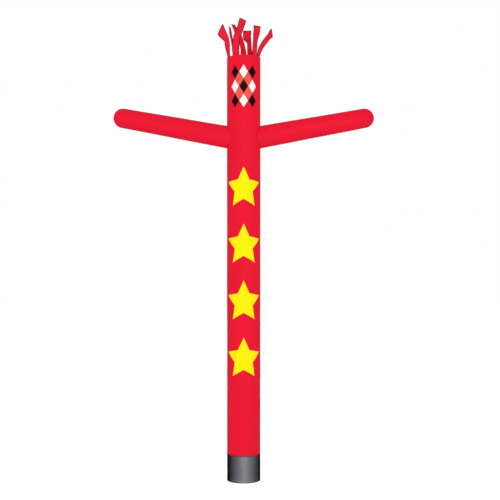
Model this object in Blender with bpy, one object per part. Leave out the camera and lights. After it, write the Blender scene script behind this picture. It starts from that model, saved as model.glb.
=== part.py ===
"""Inflatable air dancer: a tall open tube of red nylon on a black cuff, with two arms and hair of strips.

Metres, +Z up, the front towards -Y. The origin is the centre of the hem that the cuff stands on.
Run with blender --background --python part.py, or from Blender's text editor.
"""

import math

import bpy
from mathutils import Matrix, Vector

# Driving dimensions
TUBE_RADIUS = 0.2285  # an 18 inch tube, the size of the blower's outlet
RIM_HEIGHT = 5.80
CUFF_HEIGHT = 0.367
CLOTH = 0.003
SEWN = 0.0003  # clearance between two sewn pieces
MERGE = 0.00005  # points this close on an axis become one
SHARP_ANGLE = math.radians(40)
TUBE_SEGMENTS = 64

# Lapped seam: the tube's foot draws in and slips inside the cuff
LAP = 0.025
LAP_EASE = 0.006  # height over which the tube draws in

# Hems, turned to the inside
RIM_HEM_HEIGHT = 0.030
FOOT_HEM_HEIGHT = 0.035
HEM_TURN = 0.001
HEM_SLOPE = 0.004
TUBE_RING_STEP = 0.68  # height of the bands that the plain tube is divided into

# Arms
ARM_SHOULDER_HEIGHT = 4.674  # where the arm's axis meets the tube's
ARM_RISE = math.radians(10.27)
ARM_SHOULDER_RADIUS = 0.1554
ARM_HAND_RADIUS = 0.1325
ARM_LENGTH = 1.686  # along its axis, from the tube's axis to the centre of the rounded hand
ARM_SEGMENTS = 48
HAND_ARC_STEPS = 7
ARM_BANDS = 4
HOLE_CUT_FROM = 0.10
HOLE_CUT_TO = 0.45

# Streamers
STREAMER_CLOTH = 0.002
STREAMER_TAB = 0.025  # length of the root that is sewn inside the rim hem
STREAMER_STEP = 0.024
STREAMER_COLUMNS = 4
# The middle of a strip's cloth where it lies along the flats inside the rim hem
RIM_SEAT_RADIUS = (
    (TUBE_RADIUS - CLOTH - HEM_TURN) * math.cos(math.pi / TUBE_SEGMENTS) - SEWN - STREAMER_CLOTH / 2
)

# One row for each section of a strip above the rim, in metres and degrees. "up" is above the rim, "across"
# is +X and "back" is +Y, all at the strip's middle. "turn" is about the vertical, and "tilt" is in the
# front plane.
SECTION_COLUMNS = ("up", "across", "back", "width", "turn", "tilt")
# "round" is where the strip is sewn, in degrees round the rim from the front towards +X.
STREAMERS = {
    "streamer_1": {
        "round": -68,
        "root_width": 0.094,
        "sections": (
            (0.10, -0.221, -0.080, 0.098, -55, 0),
            (0.18, -0.231, -0.075, 0.107, -46, 0),
            (0.24, -0.241, -0.070, 0.112, -53, 28),
            (0.31, -0.282, -0.060, 0.122, -24, 50),
            (0.396, -0.326, -0.050, 0.166, 0, 64),
        ),
    },
    "streamer_2": {
        "round": -139,
        "root_width": 0.070,
        "sections": (
            (0.07, -0.146, 0.162, 0.085, 72, 0),
            (0.16, -0.151, 0.150, 0.093, 73, 0),
            (0.25, -0.167, 0.140, 0.101, 73, 0),
            (0.36, -0.186, 0.130, 0.109, 72, 0),
            (0.47, -0.200, 0.120, 0.115, 72, 0),
        ),
    },
    "streamer_3": {
        "round": -28,
        "root_width": 0.100,
        "sections": (
            (0.08, -0.111, -0.195, 0.105, -18, 0),
            (0.15, -0.110, -0.190, 0.106, -21, 0),
            (0.245, -0.098, -0.180, 0.110, -22, -4),
            (0.33, -0.067, -0.170, 0.117, -33, -12),
            (0.41, -0.040, -0.160, 0.122, -32, -20),
            (0.503, -0.016, -0.150, 0.124, -34, -34),
        ),
    },
    "streamer_4": {
        "round": 180,
        "root_width": 0.086,
        "sections": (
            (0.08, -0.003, 0.205, 0.100, 24, 0),
            (0.16, -0.010, 0.190, 0.102, 42, 0),
            (0.24, -0.030, 0.170, 0.104, 41, 6),
            (0.32, -0.061, 0.140, 0.106, 38, 8),
            (0.40, -0.101, 0.120, 0.113, 46, 16),
            (0.497, -0.156, 0.100, 0.116, 66, 14),
        ),
    },
    "streamer_5": {
        "round": 158,
        "root_width": 0.080,
        "sections": (
            (0.08, 0.092, 0.200, 0.092, -34, 0),
            (0.16, 0.086, 0.190, 0.098, -48, 0),
            (0.275, 0.078, 0.180, 0.104, -52, 8),
            (0.325, 0.050, 0.170, 0.114, -14, 16),
            (0.365, 0.048, 0.165, 0.116, -6, 6),
            (0.426, 0.048, 0.160, 0.116, 12, 3),
        ),
    },
    "streamer_6": {
        "round": 44,
        "root_width": 0.092,
        "sections": (
            (0.09, 0.155, -0.156, 0.100, 50, 0),
            (0.18, 0.161, -0.150, 0.108, 54, 0),
            (0.26, 0.171, -0.140, 0.112, 49, 0),
            (0.33, 0.182, -0.130, 0.116, 39, 0),
            (0.418, 0.188, -0.120, 0.122, 38, 2),
        ),
    },
    "streamer_7": {
        "round": 67,
        "root_width": 0.082,
        "sections": (
            (0.078, 0.219, -0.082, 0.090, 56, -26),
            (0.139, 0.248, -0.080, 0.096, 54, -37),
            (0.199, 0.287, -0.075, 0.103, 56, -37),
            (0.259, 0.333, -0.070, 0.106, 56, -46),
            (0.304, 0.368, -0.060, 0.110, 46, -62),
            (0.341, 0.393, -0.050, 0.122, 0, -83),
        ),
    },
}

# Base colours are linear RGB
FINISHES = {
    "red_nylon": {"colour": (0.838, 0.010, 0.036), "roughness": 0.55},
    "black_cuff_cloth": {"colour": (0.012, 0.012, 0.013), "roughness": 0.42},
}


def clear_scene():
    """Removes whatever the open file holds."""
    for obj in list(bpy.data.objects):
        bpy.data.objects.remove(obj, do_unlink=True)


def make_finishes():
    """The materials by name."""
    finishes = {}
    for name, values in FINISHES.items():
        finish = bpy.data.materials.new(name)
        finish.use_nodes = True
        shader = finish.node_tree.nodes["Principled BSDF"]
        shader.inputs["Base Color"].default_value = (*values["colour"], 1.0)
        shader.inputs["Roughness"].default_value = values["roughness"]
        shader.inputs["Metallic"].default_value = 0.0
        finishes[name] = finish
    return finishes


def add_object(name, points, edges, faces, finish=None):
    """A mesh object of these points, edges and faces."""
    mesh = bpy.data.meshes.new(name)
    mesh.from_pydata(points, edges, faces)
    if finish:
        mesh.materials.append(finish)
    obj = bpy.data.objects.new(name, mesh)
    bpy.context.scene.collection.objects.link(obj)
    return obj


def add_turned(name, profile, segments, closed, finish=None):
    """A body turned about its own Z from (radius, height) points that run down its outer side."""
    edges = [(i, i + 1) for i in range(len(profile) - 1)]
    if closed:
        edges.append((len(profile) - 1, 0))
    obj = add_object(name, [(radius, 0.0, height) for radius, height in profile], edges, [], finish)
    screw = obj.modifiers.new("turn", "SCREW")
    screw.steps = screw.render_steps = segments
    screw.use_merge_vertices = True
    screw.merge_threshold = MERGE
    return obj


def as_cutter(obj):
    """Marks a body that only cuts others."""
    obj.hide_render = True
    obj.display_type = "WIRE"
    return obj


def cut(obj, cutter):
    """Takes the cutter's space out of a body."""
    boolean = obj.modifiers.new("cut_" + cutter.name, "BOOLEAN")
    boolean.operation = "DIFFERENCE"
    boolean.solver = "EXACT"
    boolean.object = cutter


def spread(start, end, steps):
    """The steps + 1 values that divide the way from start to end evenly."""
    return [start + (end - start) * i / steps for i in range(steps + 1)]


# Tube and cuff


def add_cuff(finish):
    """The sleeve at the foot, with a hem turned to the inside."""
    outer = TUBE_RADIUS
    inner = TUBE_RADIUS - CLOTH
    profile = [
        (outer, CUFF_HEIGHT),
        (outer, 0.0),
        (inner - HEM_TURN, 0.0),
        (inner - HEM_TURN, FOOT_HEM_HEIGHT - HEM_SLOPE),
        (inner, FOOT_HEM_HEIGHT),
        (inner, CUFF_HEIGHT),
    ]
    return add_turned("base_cuff", profile, TUBE_SEGMENTS, True, finish)


def add_tube(finish):
    """The tall tube: drawn in at the foot to slip inside the cuff, with a hem turned in at the rim."""
    outer = TUBE_RADIUS
    inner = TUBE_RADIUS - CLOTH
    lap_outer = inner - SEWN
    lap_inner = lap_outer - CLOTH
    hem_inner = inner - HEM_TURN
    foot = CUFF_HEIGHT - LAP
    drawn_in = CUFF_HEIGHT + SEWN
    full = drawn_in + LAP_EASE
    hem_foot = RIM_HEIGHT - RIM_HEM_HEIGHT
    bands = spread(full, hem_foot - HEM_SLOPE, round((hem_foot - full) / TUBE_RING_STEP))
    outside = [(outer, RIM_HEIGHT), (outer, hem_foot)]
    outside += [(outer, height) for height in reversed(bands)]
    outside += [(lap_outer, drawn_in), (lap_outer, foot)]
    inside = [(lap_inner, foot), (lap_inner, drawn_in)]
    inside += [(inner, height) for height in bands]
    inside += [(hem_inner, hem_foot), (hem_inner, RIM_HEIGHT)]
    return add_turned("body_tube", outside + inside, TUBE_SEGMENTS, True, finish)


# Arms


def arm_radius(along):
    """The sleeve's outer radius at this distance from the tube's axis."""
    return ARM_SHOULDER_RADIUS + (ARM_HAND_RADIUS - ARM_SHOULDER_RADIUS) * along / ARM_LENGTH


def hand_arc(radius, from_angle, to_angle):
    """A quarter of the rounded hand's section, between two angles in degrees from the arm's side."""
    angles = [math.radians(angle) for angle in spread(from_angle, to_angle, HAND_ARC_STEPS)]
    return [(radius * math.cos(angle), ARM_LENGTH + radius * math.sin(angle)) for angle in angles]


def arm_profile():
    """The sleeve's section: down its outer side from the tip of the hand, and back up inside."""
    bands = spread(ARM_LENGTH, 0.0, ARM_BANDS)[1:]
    outside = hand_arc(ARM_HAND_RADIUS, 90, 0)
    outside += [(arm_radius(along), along) for along in bands]
    inside = [(arm_radius(along) - CLOTH, along) for along in reversed(bands)]
    inside += hand_arc(ARM_HAND_RADIUS - CLOTH, 0, 90)
    return outside + inside


def arm_placement(side):
    """Turns a body that lies along +Z into the arm on this side, 1 for +X and -1 for -X."""
    tilt = Matrix.Rotation(side * (math.pi / 2 - ARM_RISE), 4, "Y")
    return Matrix.Translation((0.0, 0.0, ARM_SHOULDER_HEIGHT)) @ tilt


def add_arm(name, side, tube, finish):
    """A sleeve cut to the tube's wall, and the hole in that wall through which air reaches it."""
    placement = arm_placement(side)
    arm = add_turned(name, arm_profile(), ARM_SEGMENTS, False, finish)
    arm.matrix_world = placement

    shoulder_profile = [
        (0.0, RIM_HEIGHT),
        (TUBE_RADIUS + SEWN, RIM_HEIGHT),
        (TUBE_RADIUS + SEWN, CUFF_HEIGHT),
        (0.0, CUFF_HEIGHT),
    ]
    shoulder_cutter = add_turned(name + "_shoulder_cutter", shoulder_profile, TUBE_SEGMENTS, False)
    cut(arm, as_cutter(shoulder_cutter))

    hole_profile = [
        (0.0, HOLE_CUT_TO),
        (arm_radius(HOLE_CUT_TO) - CLOTH, HOLE_CUT_TO),
        (arm_radius(HOLE_CUT_FROM) - CLOTH, HOLE_CUT_FROM),
        (0.0, HOLE_CUT_FROM),
    ]
    hole_cutter = add_turned(name + "_hole_cutter", hole_profile, ARM_SEGMENTS, False)
    hole_cutter.matrix_world = placement
    cut(tube, as_cutter(hole_cutter))
    return arm


# Streamers


def rim_section(spec):
    """Where the strip leaves the rim, lying along the inside of the hem."""
    angle = math.radians(spec["round"])
    turn = spec["round"]
    if abs(turn) > 90:
        turn -= math.copysign(180, turn)
    across = RIM_SEAT_RADIUS * math.sin(angle)
    back = -RIM_SEAT_RADIUS * math.cos(angle)
    return (0.0, across, back, spec["root_width"], turn, 0.0)


def slopes_of(sections):
    """How fast each column changes with height: not at all where the strip leaves the hem."""
    slopes = [(0.0,) * len(SECTION_COLUMNS)]
    for i in range(1, len(sections)):
        below = sections[i - 1]
        above = sections[min(i + 1, len(sections) - 1)]
        slopes.append(tuple((b - a) / (above[0] - below[0]) for a, b in zip(below, above)))
    return slopes


def strip_sections(spec):
    """The strip's sections from its tab to its free end, about STREAMER_STEP apart on a smooth curve."""
    sections = [rim_section(spec)] + list(spec["sections"])
    slopes = slopes_of(sections)
    top = sections[-1][0]
    rows = [(-STREAMER_TAB,) + sections[0][1:]]
    i = 0
    for up in spread(0.0, top, round(top / STREAMER_STEP)):
        while i < len(sections) - 2 and up > sections[i + 1][0]:
            i += 1
        rise = sections[i + 1][0] - sections[i][0]
        t = min((up - sections[i][0]) / rise, 1.0)
        rows.append(
            tuple(
                a * (1 + 2 * t) * (1 - t) ** 2
                + b * (3 - 2 * t) * t**2
                + rise * (a_slope * t * (1 - t) ** 2 - b_slope * (1 - t) * t**2)
                for a, b, a_slope, b_slope in zip(sections[i], sections[i + 1], slopes[i], slopes[i + 1])
            )
        )
    return [dict(zip(SECTION_COLUMNS, row)) for row in rows]


def add_streamer(name, spec, finish):
    """A strip of cloth, bowed along its width as the rim is."""
    rows = strip_sections(spec)
    facing = 1.0 if abs(spec["round"]) <= 90 else -1.0  # the strip's side direction stays towards +X
    middles = [Vector((row["across"], row["back"], RIM_HEIGHT + row["up"])) for row in rows]
    points = []
    for i, (row, middle) in enumerate(zip(rows, middles)):
        turn = math.radians(row["turn"])
        tilt = math.radians(row["tilt"])
        side = Vector((math.cos(turn) * math.cos(tilt), math.sin(turn), math.cos(turn) * math.sin(tilt)))
        side.normalize()
        along = middles[min(i + 1, len(rows) - 1)] - middles[max(i - 1, 0)]
        inward = facing * along.cross(side).normalized()
        half = row["width"] / 2
        for place in spread(-half, half, STREAMER_COLUMNS):
            points.append(middle + side * place + inward * place**2 / (2 * RIM_SEAT_RADIUS))
    stride = STREAMER_COLUMNS + 1
    faces = [
        (at, at + 1, at + 1 + stride, at + stride)
        for row in range(len(rows) - 1)
        for at in range(row * stride, row * stride + STREAMER_COLUMNS)
    ]
    strip = add_object(name, points, [], faces, finish)
    thickness = strip.modifiers.new("cloth", "SOLIDIFY")
    thickness.thickness = STREAMER_CLOTH
    thickness.offset = 0.0
    return strip


def shade_smooth(obj):
    """Shades a body smooth, and keeps the edges of its hems and ends sharp."""
    obj.data.shade_smooth()
    obj.data.set_sharp_from_angle(angle=SHARP_ANGLE)


def main():
    clear_scene()
    finishes = make_finishes()
    red = finishes["red_nylon"]
    tube = add_tube(red)
    pieces = [tube, add_cuff(finishes["black_cuff_cloth"])]
    pieces += [add_arm("arm_left", -1, tube, red), add_arm("arm_right", 1, tube, red)]
    pieces += [add_streamer(name, spec, red) for name, spec in STREAMERS.items()]
    for piece in pieces:
        shade_smooth(piece)


main()
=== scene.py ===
"""The air dancer's looks: nylon skins, a coated cuff, strips of hair, seams, stitches and inks."""

import logging
import math
from dataclasses import dataclass, field
from enum import Enum

import bmesh
import bpy
import numpy as np
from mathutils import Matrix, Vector
from mathutils.geometry import delaunay_2d_cdt


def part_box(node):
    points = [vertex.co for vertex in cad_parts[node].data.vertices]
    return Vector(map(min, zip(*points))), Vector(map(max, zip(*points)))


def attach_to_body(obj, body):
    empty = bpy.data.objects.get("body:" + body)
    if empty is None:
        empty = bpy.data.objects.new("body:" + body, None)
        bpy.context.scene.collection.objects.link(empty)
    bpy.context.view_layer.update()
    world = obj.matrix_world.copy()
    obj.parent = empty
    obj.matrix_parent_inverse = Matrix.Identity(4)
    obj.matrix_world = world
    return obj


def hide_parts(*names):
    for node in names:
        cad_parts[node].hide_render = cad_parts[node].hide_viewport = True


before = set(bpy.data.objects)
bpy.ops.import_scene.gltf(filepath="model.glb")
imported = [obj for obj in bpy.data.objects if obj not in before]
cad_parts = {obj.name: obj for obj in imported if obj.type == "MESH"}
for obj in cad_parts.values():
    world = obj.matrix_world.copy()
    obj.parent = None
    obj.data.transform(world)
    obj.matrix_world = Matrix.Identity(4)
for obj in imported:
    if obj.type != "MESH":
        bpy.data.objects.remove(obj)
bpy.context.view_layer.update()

ROOT = "root"
LOG = logging.getLogger("air_dancer")

SHARP_ANGLE = math.radians(35)
MERGE = 0.00002  # points this close become one
CLOTH_MAP = "cloth"  # the UV map that holds each point's place on the flat cloth, in metres
BAKE_MAP = "OFBake"
COLOURS = {"data_type": "RGBA"}  # makes a mix of colours: 6 and 7 are its first and second
NOISE = {"From Min": 0.3, "From Max": 0.7}  # between these lie most of a noise texture's values

Array = np.ndarray
Values = np.ndarray | float
Material = bpy.types.Material
Node = bpy.types.Node
Piece = bpy.types.Object
Tree = bpy.types.NodeTree
Place = tuple[float, float]
Outline = list[Place]
Island = tuple[float, float, float, float]


def reach_of(node: str, axis: int) -> float:
    """How far a solid reaches along +X (0), +Y (1) or +Z (2), to the tenth of a millimetre."""
    return round(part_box(node)[1][axis], 4)


TUBE_RADIUS = reach_of("base_cuff", 0)
CUFF_HEIGHT = reach_of("base_cuff", 2)
RIM_HEIGHT = reach_of("body_tube", 2)
CLOTH = 0.003  # the solids' thickness
SEWN = 0.0003  # between two solids that are sewn together
TURNED = 0.001  # how far a hem's turned cloth stands in
LEDGE = 0.001  # half the width over which a hem's edge rises
TAB = 0.025  # how far a strip reaches down inside the rim
TACK_SHARE = 0.84  # the share of a tab's width that its box of stitches takes up
TACK_DROPS = (0.021, 0.006)  # the box's foot and top, below the rim
FRONT = np.array([0.0, -1.0, 0.0])
RING = np.linspace(-math.pi, math.pi, 241)  # angles all the way round, for rows of stitches


class Side(Enum):
    """Which side of the tube an arm or a seam is on."""

    LEFT = -1
    RIGHT = 1


class Held(Enum):
    """How a piece of cloth keeps its shape."""

    BY_AIR = "stretched"
    HUNG = "hung"


class Slot(Enum):
    """The record's material slots."""

    BODY = "red_nylon"
    STREAMER = "red_streamer_nylon"
    CUFF = "black_cuff_cloth"


class Ink(Enum):
    """The inks on the tube."""

    YELLOW = "yellow"
    WHITE = "white"
    BLACK = "black"
    CORAL = "coral"


# Finishes


def linear(hex_colour: str) -> tuple[float, float, float, float]:
    """Turns an sRGB colour to linear RGBA.

    Args:
        hex_colour: the colour as six hex digits after a hash.

    Returns:
        The linear red, green and blue, and an alpha of 1.
    """
    channels = [int(hex_colour[i : i + 2], 16) / 255 for i in (1, 3, 5)]
    red, green, blue = (c / 12.92 if c <= 0.04045 else ((c + 0.055) / 1.055) ** 2.4 for c in channels)
    return red, green, blue, 1.0


def feed(node: Node, inputs: dict) -> None:
    """Sets some of a node's inputs.

    Args:
        node: the node.
        inputs: each input's value, or the socket that feeds it, by name or number.
    """
    for key, value in inputs.items():
        if isinstance(value, bpy.types.NodeSocket):
            node.id_data.links.new(value, node.inputs[key])
        else:
            node.inputs[key].default_value = value


def add_node(tree: Tree, kind: str, settings: dict | None = None, inputs: dict | None = None) -> Node:
    """Adds a node with its settings and links.

    Args:
        tree: the material's, light's or world's node tree.
        kind: the node's Blender type.
        settings: the node's own properties by name.
        inputs: each input's value, or the socket that feeds it, by name or number.

    Returns:
        The new node.
    """
    node = tree.nodes.new(kind)
    for name, value in (settings or {}).items():
        setattr(node, name, value)
    feed(node, inputs or {})
    return node


def start_material(name: str) -> tuple[Material, Tree, Node]:
    """Makes a material that holds only its shader and output.

    Args:
        name: the finish's name.

    Returns:
        The material, its tree and its shader.
    """
    material = bpy.data.materials.new(name)
    material.use_nodes = True
    tree = material.node_tree
    return material, tree, tree.nodes["Principled BSDF"]


@dataclass(frozen=True)
class RipstopNylon:
    """Ripstop nylon, woven with a thicker thread every few millimetres, dyed and calendered flat.

    The eye sees an even strong colour, a faint grid of raised threads, a dull satin shine and small
    soft crumples left from packing.
    """

    name: str
    colour: str = "#ec1130"
    faded: str = "#e81232"
    tone_scale: float = 1.7  # faded patches about 600 mm across
    grid_colour: str = "#cb0f28"
    # Real ripstop is 5 mm a square, which is finer than a render shows, so it's drawn at 24 mm
    grid_step: float = 0.024
    grid_line: float = 0.0012
    grid_show: float = 0.6  # how much of the thicker threads' own colour shows
    grid_depth: float = 0.0003
    weave_step: float = 0.0024  # a 0.2 mm thread drawn at 2.4 mm
    weave_depth: float = 0.00012
    crumple_scale: float = 9.0  # crumples about 110 mm apart
    crumple_depth: float = 0.0012
    roughness: tuple[float, float] = (0.52, 0.62)
    specular: float = 0.08
    sheen: float = 0.005
    sheen_tint: str = "#ff8a8a"
    glow: float = 0.40  # thin dyed nylon glows a little where light passes through it

    def build(self) -> Material:
        """Makes the material.

        Returns:
            The finished material.
        """
        material, tree, shader = start_material(self.name)
        place = add_node(tree, "ShaderNodeUVMap", {"uv_map": CLOTH_MAP}).outputs["UV"]
        squares = {
            "Vector": place,
            "Scale": 1.0,
            "Brick Width": self.grid_step,
            "Row Height": self.grid_step,
            "Mortar Size": self.grid_line,
            "Mortar Smooth": 0.6,
        }
        grid = add_node(tree, "ShaderNodeTexBrick", {"offset": 0.0}, squares).outputs["Fac"]
        patches = {"Vector": place, "Scale": self.tone_scale, "Detail": 3.0, "Roughness": 0.55}
        tone = add_node(tree, "ShaderNodeTexNoise", {}, patches).outputs["Fac"]
        dyes = {"Factor": tone, 6: linear(self.colour), 7: linear(self.faded)}
        dyed = add_node(tree, "ShaderNodeMix", COLOURS, dyes).outputs[2]
        share = add_node(tree, "ShaderNodeMath", {"operation": "MULTIPLY"}, {0: grid, 1: self.grid_show})
        dyes = {"Factor": share.outputs[0], 6: dyed, 7: linear(self.grid_colour)}
        gridded = add_node(tree, "ShaderNodeMix", COLOURS, dyes).outputs[2]
        dents = {"Vector": place, "Scale": self.crumple_scale, "Detail": 4.0, "Distortion": 0.6}
        crumple = add_node(tree, "ShaderNodeTexNoise", {}, dents).outputs["Fac"]
        low, high = self.roughness
        shine = {"Value": crumple, **NOISE, "To Min": low, "To Max": high}
        rough = add_node(tree, "ShaderNodeMapRange", {}, shine).outputs[0]
        threads = {"Vector": place, "Scale": 1 / self.weave_step}
        weave = add_node(tree, "ShaderNodeTexChecker", {}, threads).outputs["Fac"]
        layers = (
            (weave, self.weave_depth, 0.5),
            (grid, self.grid_depth, 0.6),
            (crumple, self.crumple_depth, 0.5),
        )
        below = {}
        for texture, depth, strength in layers:
            relief = {"Height": texture, "Distance": depth, "Strength": strength, **below}
            below = {"Normal": add_node(tree, "ShaderNodeBump", {}, relief).outputs["Normal"]}
        surface = {
            "Base Color": gridded,
            "Roughness": rough,
            "IOR": 1.53,
            "Metallic": 0.0,
            "Specular IOR Level": self.specular,
            "Sheen Weight": self.sheen,
            "Sheen Roughness": 0.4,
            "Sheen Tint": linear(self.sheen_tint),
            "Subsurface Weight": self.glow,
            "Subsurface Radius": (1.0, 0.15, 0.15),
            "Subsurface Scale": 0.006,
        }
        feed(shader, surface | below)
        return material


@dataclass(frozen=True)
class CoatedPolyester:
    """Plain-woven polyester with a rubbery coating rolled on: the cuff that takes the wear.

    The eye sees a near-black cloth with a broad soft grey shine, a fine even weave and a little dust
    at its foot.
    """

    name: str = "black_coated_polyester"
    colour: str = "#171719"
    dust: str = "#242322"
    dust_height: float = 0.09
    scuff_scale: float = 11.0  # scuffs about 90 mm apart
    weave_step: float = 0.004  # a 0.6 mm thread drawn at 4 mm
    weave_depth: float = 0.0002
    roughness: tuple[float, float] = (0.50, 0.60)

    def build(self) -> Material:
        """Makes the material.

        Returns:
            The finished material.
        """
        material, tree, shader = start_material(self.name)
        place = add_node(tree, "ShaderNodeUVMap", {"uv_map": CLOTH_MAP}).outputs["UV"]
        apart = add_node(tree, "ShaderNodeSeparateXYZ", {}, {"Vector": place})
        marks = {"Vector": place, "Scale": self.scuff_scale, "Detail": 6.0, "Roughness": 0.7}
        scuffs = add_node(tree, "ShaderNodeTexNoise", {}, marks).outputs["Fac"]
        fade = {"Value": apart.outputs["Y"], "From Max": self.dust_height, "To Min": 0.5, "To Max": 0.0}
        foot = add_node(tree, "ShaderNodeMapRange", {"interpolation_type": "SMOOTHSTEP"}, fade).outputs[0]
        dusty = add_node(tree, "ShaderNodeMath", {"operation": "MULTIPLY"}, {0: foot, 1: scuffs})
        dyes = {"Factor": dusty.outputs[0], 6: linear(self.colour), 7: linear(self.dust)}
        low, high = self.roughness
        shine = {"Value": scuffs, **NOISE, "To Min": low, "To Max": high}
        threads = {"Vector": place, "Scale": 1 / self.weave_step}
        weave = add_node(tree, "ShaderNodeTexChecker", {}, threads).outputs["Fac"]
        relief = {"Height": weave, "Distance": self.weave_depth, "Strength": 0.3}
        surface = {
            "Base Color": add_node(tree, "ShaderNodeMix", COLOURS, dyes).outputs[2],
            "Roughness": add_node(tree, "ShaderNodeMapRange", {}, shine).outputs[0],
            "Normal": add_node(tree, "ShaderNodeBump", {}, relief).outputs["Normal"],
            "IOR": 1.52,
            "Metallic": 0.0,
            "Specular IOR Level": 0.03,
        }
        feed(shader, surface)
        return material


@dataclass(frozen=True)
class PolyesterThread:
    """Bonded polyester thread, twisted from three plies: short light and dark flecks along each seam."""

    name: str
    colour: str
    fleck: str
    fleck_scale: float = 240.0  # a 1 mm twist drawn at about 4 mm

    def build(self) -> Material:
        """Makes the material.

        Returns:
            The finished material.
        """
        material, tree, shader = start_material(self.name)
        place = add_node(tree, "ShaderNodeTexCoord").outputs["Object"]
        twist = {"Vector": place, "Scale": self.fleck_scale, "Detail": 2.0}
        plies = add_node(tree, "ShaderNodeTexNoise", {}, twist).outputs["Fac"]
        dyes = {"Factor": plies, 6: linear(self.colour), 7: linear(self.fleck)}
        colour = add_node(tree, "ShaderNodeMix", COLOURS, dyes).outputs[2]
        feed(shader, {"Base Color": colour, "IOR": 1.57, "Roughness": 0.5, "Specular IOR Level": 0.25})
        return material


@dataclass(frozen=True)
class ScreenInk:
    """Solvent ink pressed through a screen on to the nylon.

    The eye sees a flat strong colour, a little smoother than the cloth, with a faint mottle where the
    squeegee laid it thinner.
    """

    name: str
    colour: str
    thin: str
    mottle_scale: float = 30.0  # patches about 33 mm across
    weave_step: float = 0.004  # the cloth's thread under the ink, drawn at 4 mm
    weave_depth: float = 0.0001

    def build(self) -> Material:
        """Makes the material.

        Returns:
            The finished material.
        """
        material, tree, shader = start_material(self.name)
        place = add_node(tree, "ShaderNodeUVMap", {"uv_map": CLOTH_MAP}).outputs["UV"]
        patches = {"Vector": place, "Scale": self.mottle_scale, "Detail": 5.0, "Roughness": 0.6}
        mottle = add_node(tree, "ShaderNodeTexNoise", {}, patches).outputs["Fac"]
        inks = {"Factor": mottle, 6: linear(self.colour), 7: linear(self.thin)}
        threads = {"Vector": place, "Scale": 1 / self.weave_step}
        weave = add_node(tree, "ShaderNodeTexChecker", {}, threads).outputs["Fac"]
        relief = {"Height": weave, "Distance": self.weave_depth, "Strength": 0.3}
        surface = {
            "Base Color": add_node(tree, "ShaderNodeMix", COLOURS, inks).outputs[2],
            "Roughness": 0.5,
            "Normal": add_node(tree, "ShaderNodeBump", {}, relief).outputs["Normal"],
            "IOR": 1.5,
            "Specular IOR Level": 0.06,
        }
        feed(shader, surface)
        return material


def made(finish: RipstopNylon | CoatedPolyester | PolyesterThread | ScreenInk) -> Material:
    """A field of Finishes: the finish's material, which is made with the rest."""
    return field(default_factory=finish.build)


def make_inks() -> dict[Ink, Material]:
    """Makes every ink's material.

    Returns:
        The materials, by their ink.
    """
    dyes = {
        Ink.YELLOW: ("#f7ea05", "#f4e304"),
        Ink.WHITE: ("#f6f3ee", "#efe9e2"),
        Ink.BLACK: ("#120c0d", "#1f1213"),
        Ink.CORAL: ("#e8604c", "#de5545"),
    }
    return {ink: ScreenInk(f"{ink.value}_screen_ink", *pair).build() for ink, pair in dyes.items()}


@dataclass(frozen=True)
class Finishes:
    """Every finished material, made once."""

    nylon: Material = made(RipstopNylon("red_ripstop_nylon"))
    # A felled seam is four layers thick and passes less light; its darker red is painted shade for that,
    # and for the dark line along the tube's and arms' edges where these seams lie
    doubled_painted_shade: Material = made(
        RipstopNylon("red_ripstop_nylon_doubled", "#ac132b", "#a51229", grid_colour="#960f25", glow=0.15)
    )
    # A strip stands free in the light, so more of it shines through the single layer. Its red is a little
    # darker and duller than the tube's, which is painted shade
    strip: Material = made(
        RipstopNylon("red_ripstop_nylon_strip_painted_shade", "#dd1d3d", "#d81d3f", grid_colour="#c11938", glow=0.8)
    )
    # The strips' narrow hems are rolled three layers thick; their much darker red is painted shade along
    # the strips' edges and free ends
    hem: Material = made(
        RipstopNylon("red_ripstop_nylon_hem_painted_shade", "#8c0e24", "#860d22", grid_colour="#820c21", glow=0.05)
    )
    cuff: Material = made(CoatedPolyester())
    red_thread: Material = made(PolyesterThread("red_bonded_thread", "#a8122a", "#c9203a"))
    black_thread: Material = made(PolyesterThread("black_bonded_thread", "#101011", "#2c2c2f"))
    inks: dict[Ink, Material] = field(default_factory=make_inks)


# Skins: curved surfaces that cloth, seams, stitches and inks all follow


def smooth_step(values: Array, low: float, high: float) -> Array:
    """Rises smoothly from 0 to 1 as each value goes from low to high."""
    t = np.clip((values - low) / (high - low), 0.0, 1.0)
    return t * t * (3.0 - 2.0 * t)


def ledge(values: Array, at: float) -> Array:
    """Rises from 0 to 1 across the edge of a hem."""
    return smooth_step(values, at - LEDGE, at + LEDGE)


def uneven(place: Array, waves: tuple[tuple[float, float, float], ...]) -> Array:
    """A smooth curve of sines over a place: each wave's share, cycles in a metre and turns of phase."""
    return sum(share * np.sin(2 * math.pi * (cycles * place + phase)) for share, cycles, phase in waves)


def upright(reach: Array, angle: Array, height: Array) -> Array:
    """Points this far from the tube's axis, at angles from the front towards +X and at heights."""
    return np.stack(np.broadcast_arrays(reach * np.sin(angle), -reach * np.cos(angle), height), axis=-1)


@dataclass(frozen=True)
class Wave:
    """One slow wave over a skin, which may swell and die away along it. Angles are in radians."""

    rise: float
    rounds: int  # how many times it goes up and down round the skin
    slant: float  # how far it turns in a metre along
    phase: float
    beat: float = 0.0  # how fast it swells and dies away in a metre along; at 0 it stays even
    beat_phase: float = math.pi / 2

    def height(self, angle: Array, along: Array, mirror: float) -> Array:
        """The wave's height at angles round a skin and metres along it; mirror multiplies its phase."""
        swing = np.sin(self.rounds * angle + self.slant * along + self.phase * mirror)
        return self.rise * swing * np.sin(self.beat * along + self.beat_phase)


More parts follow.
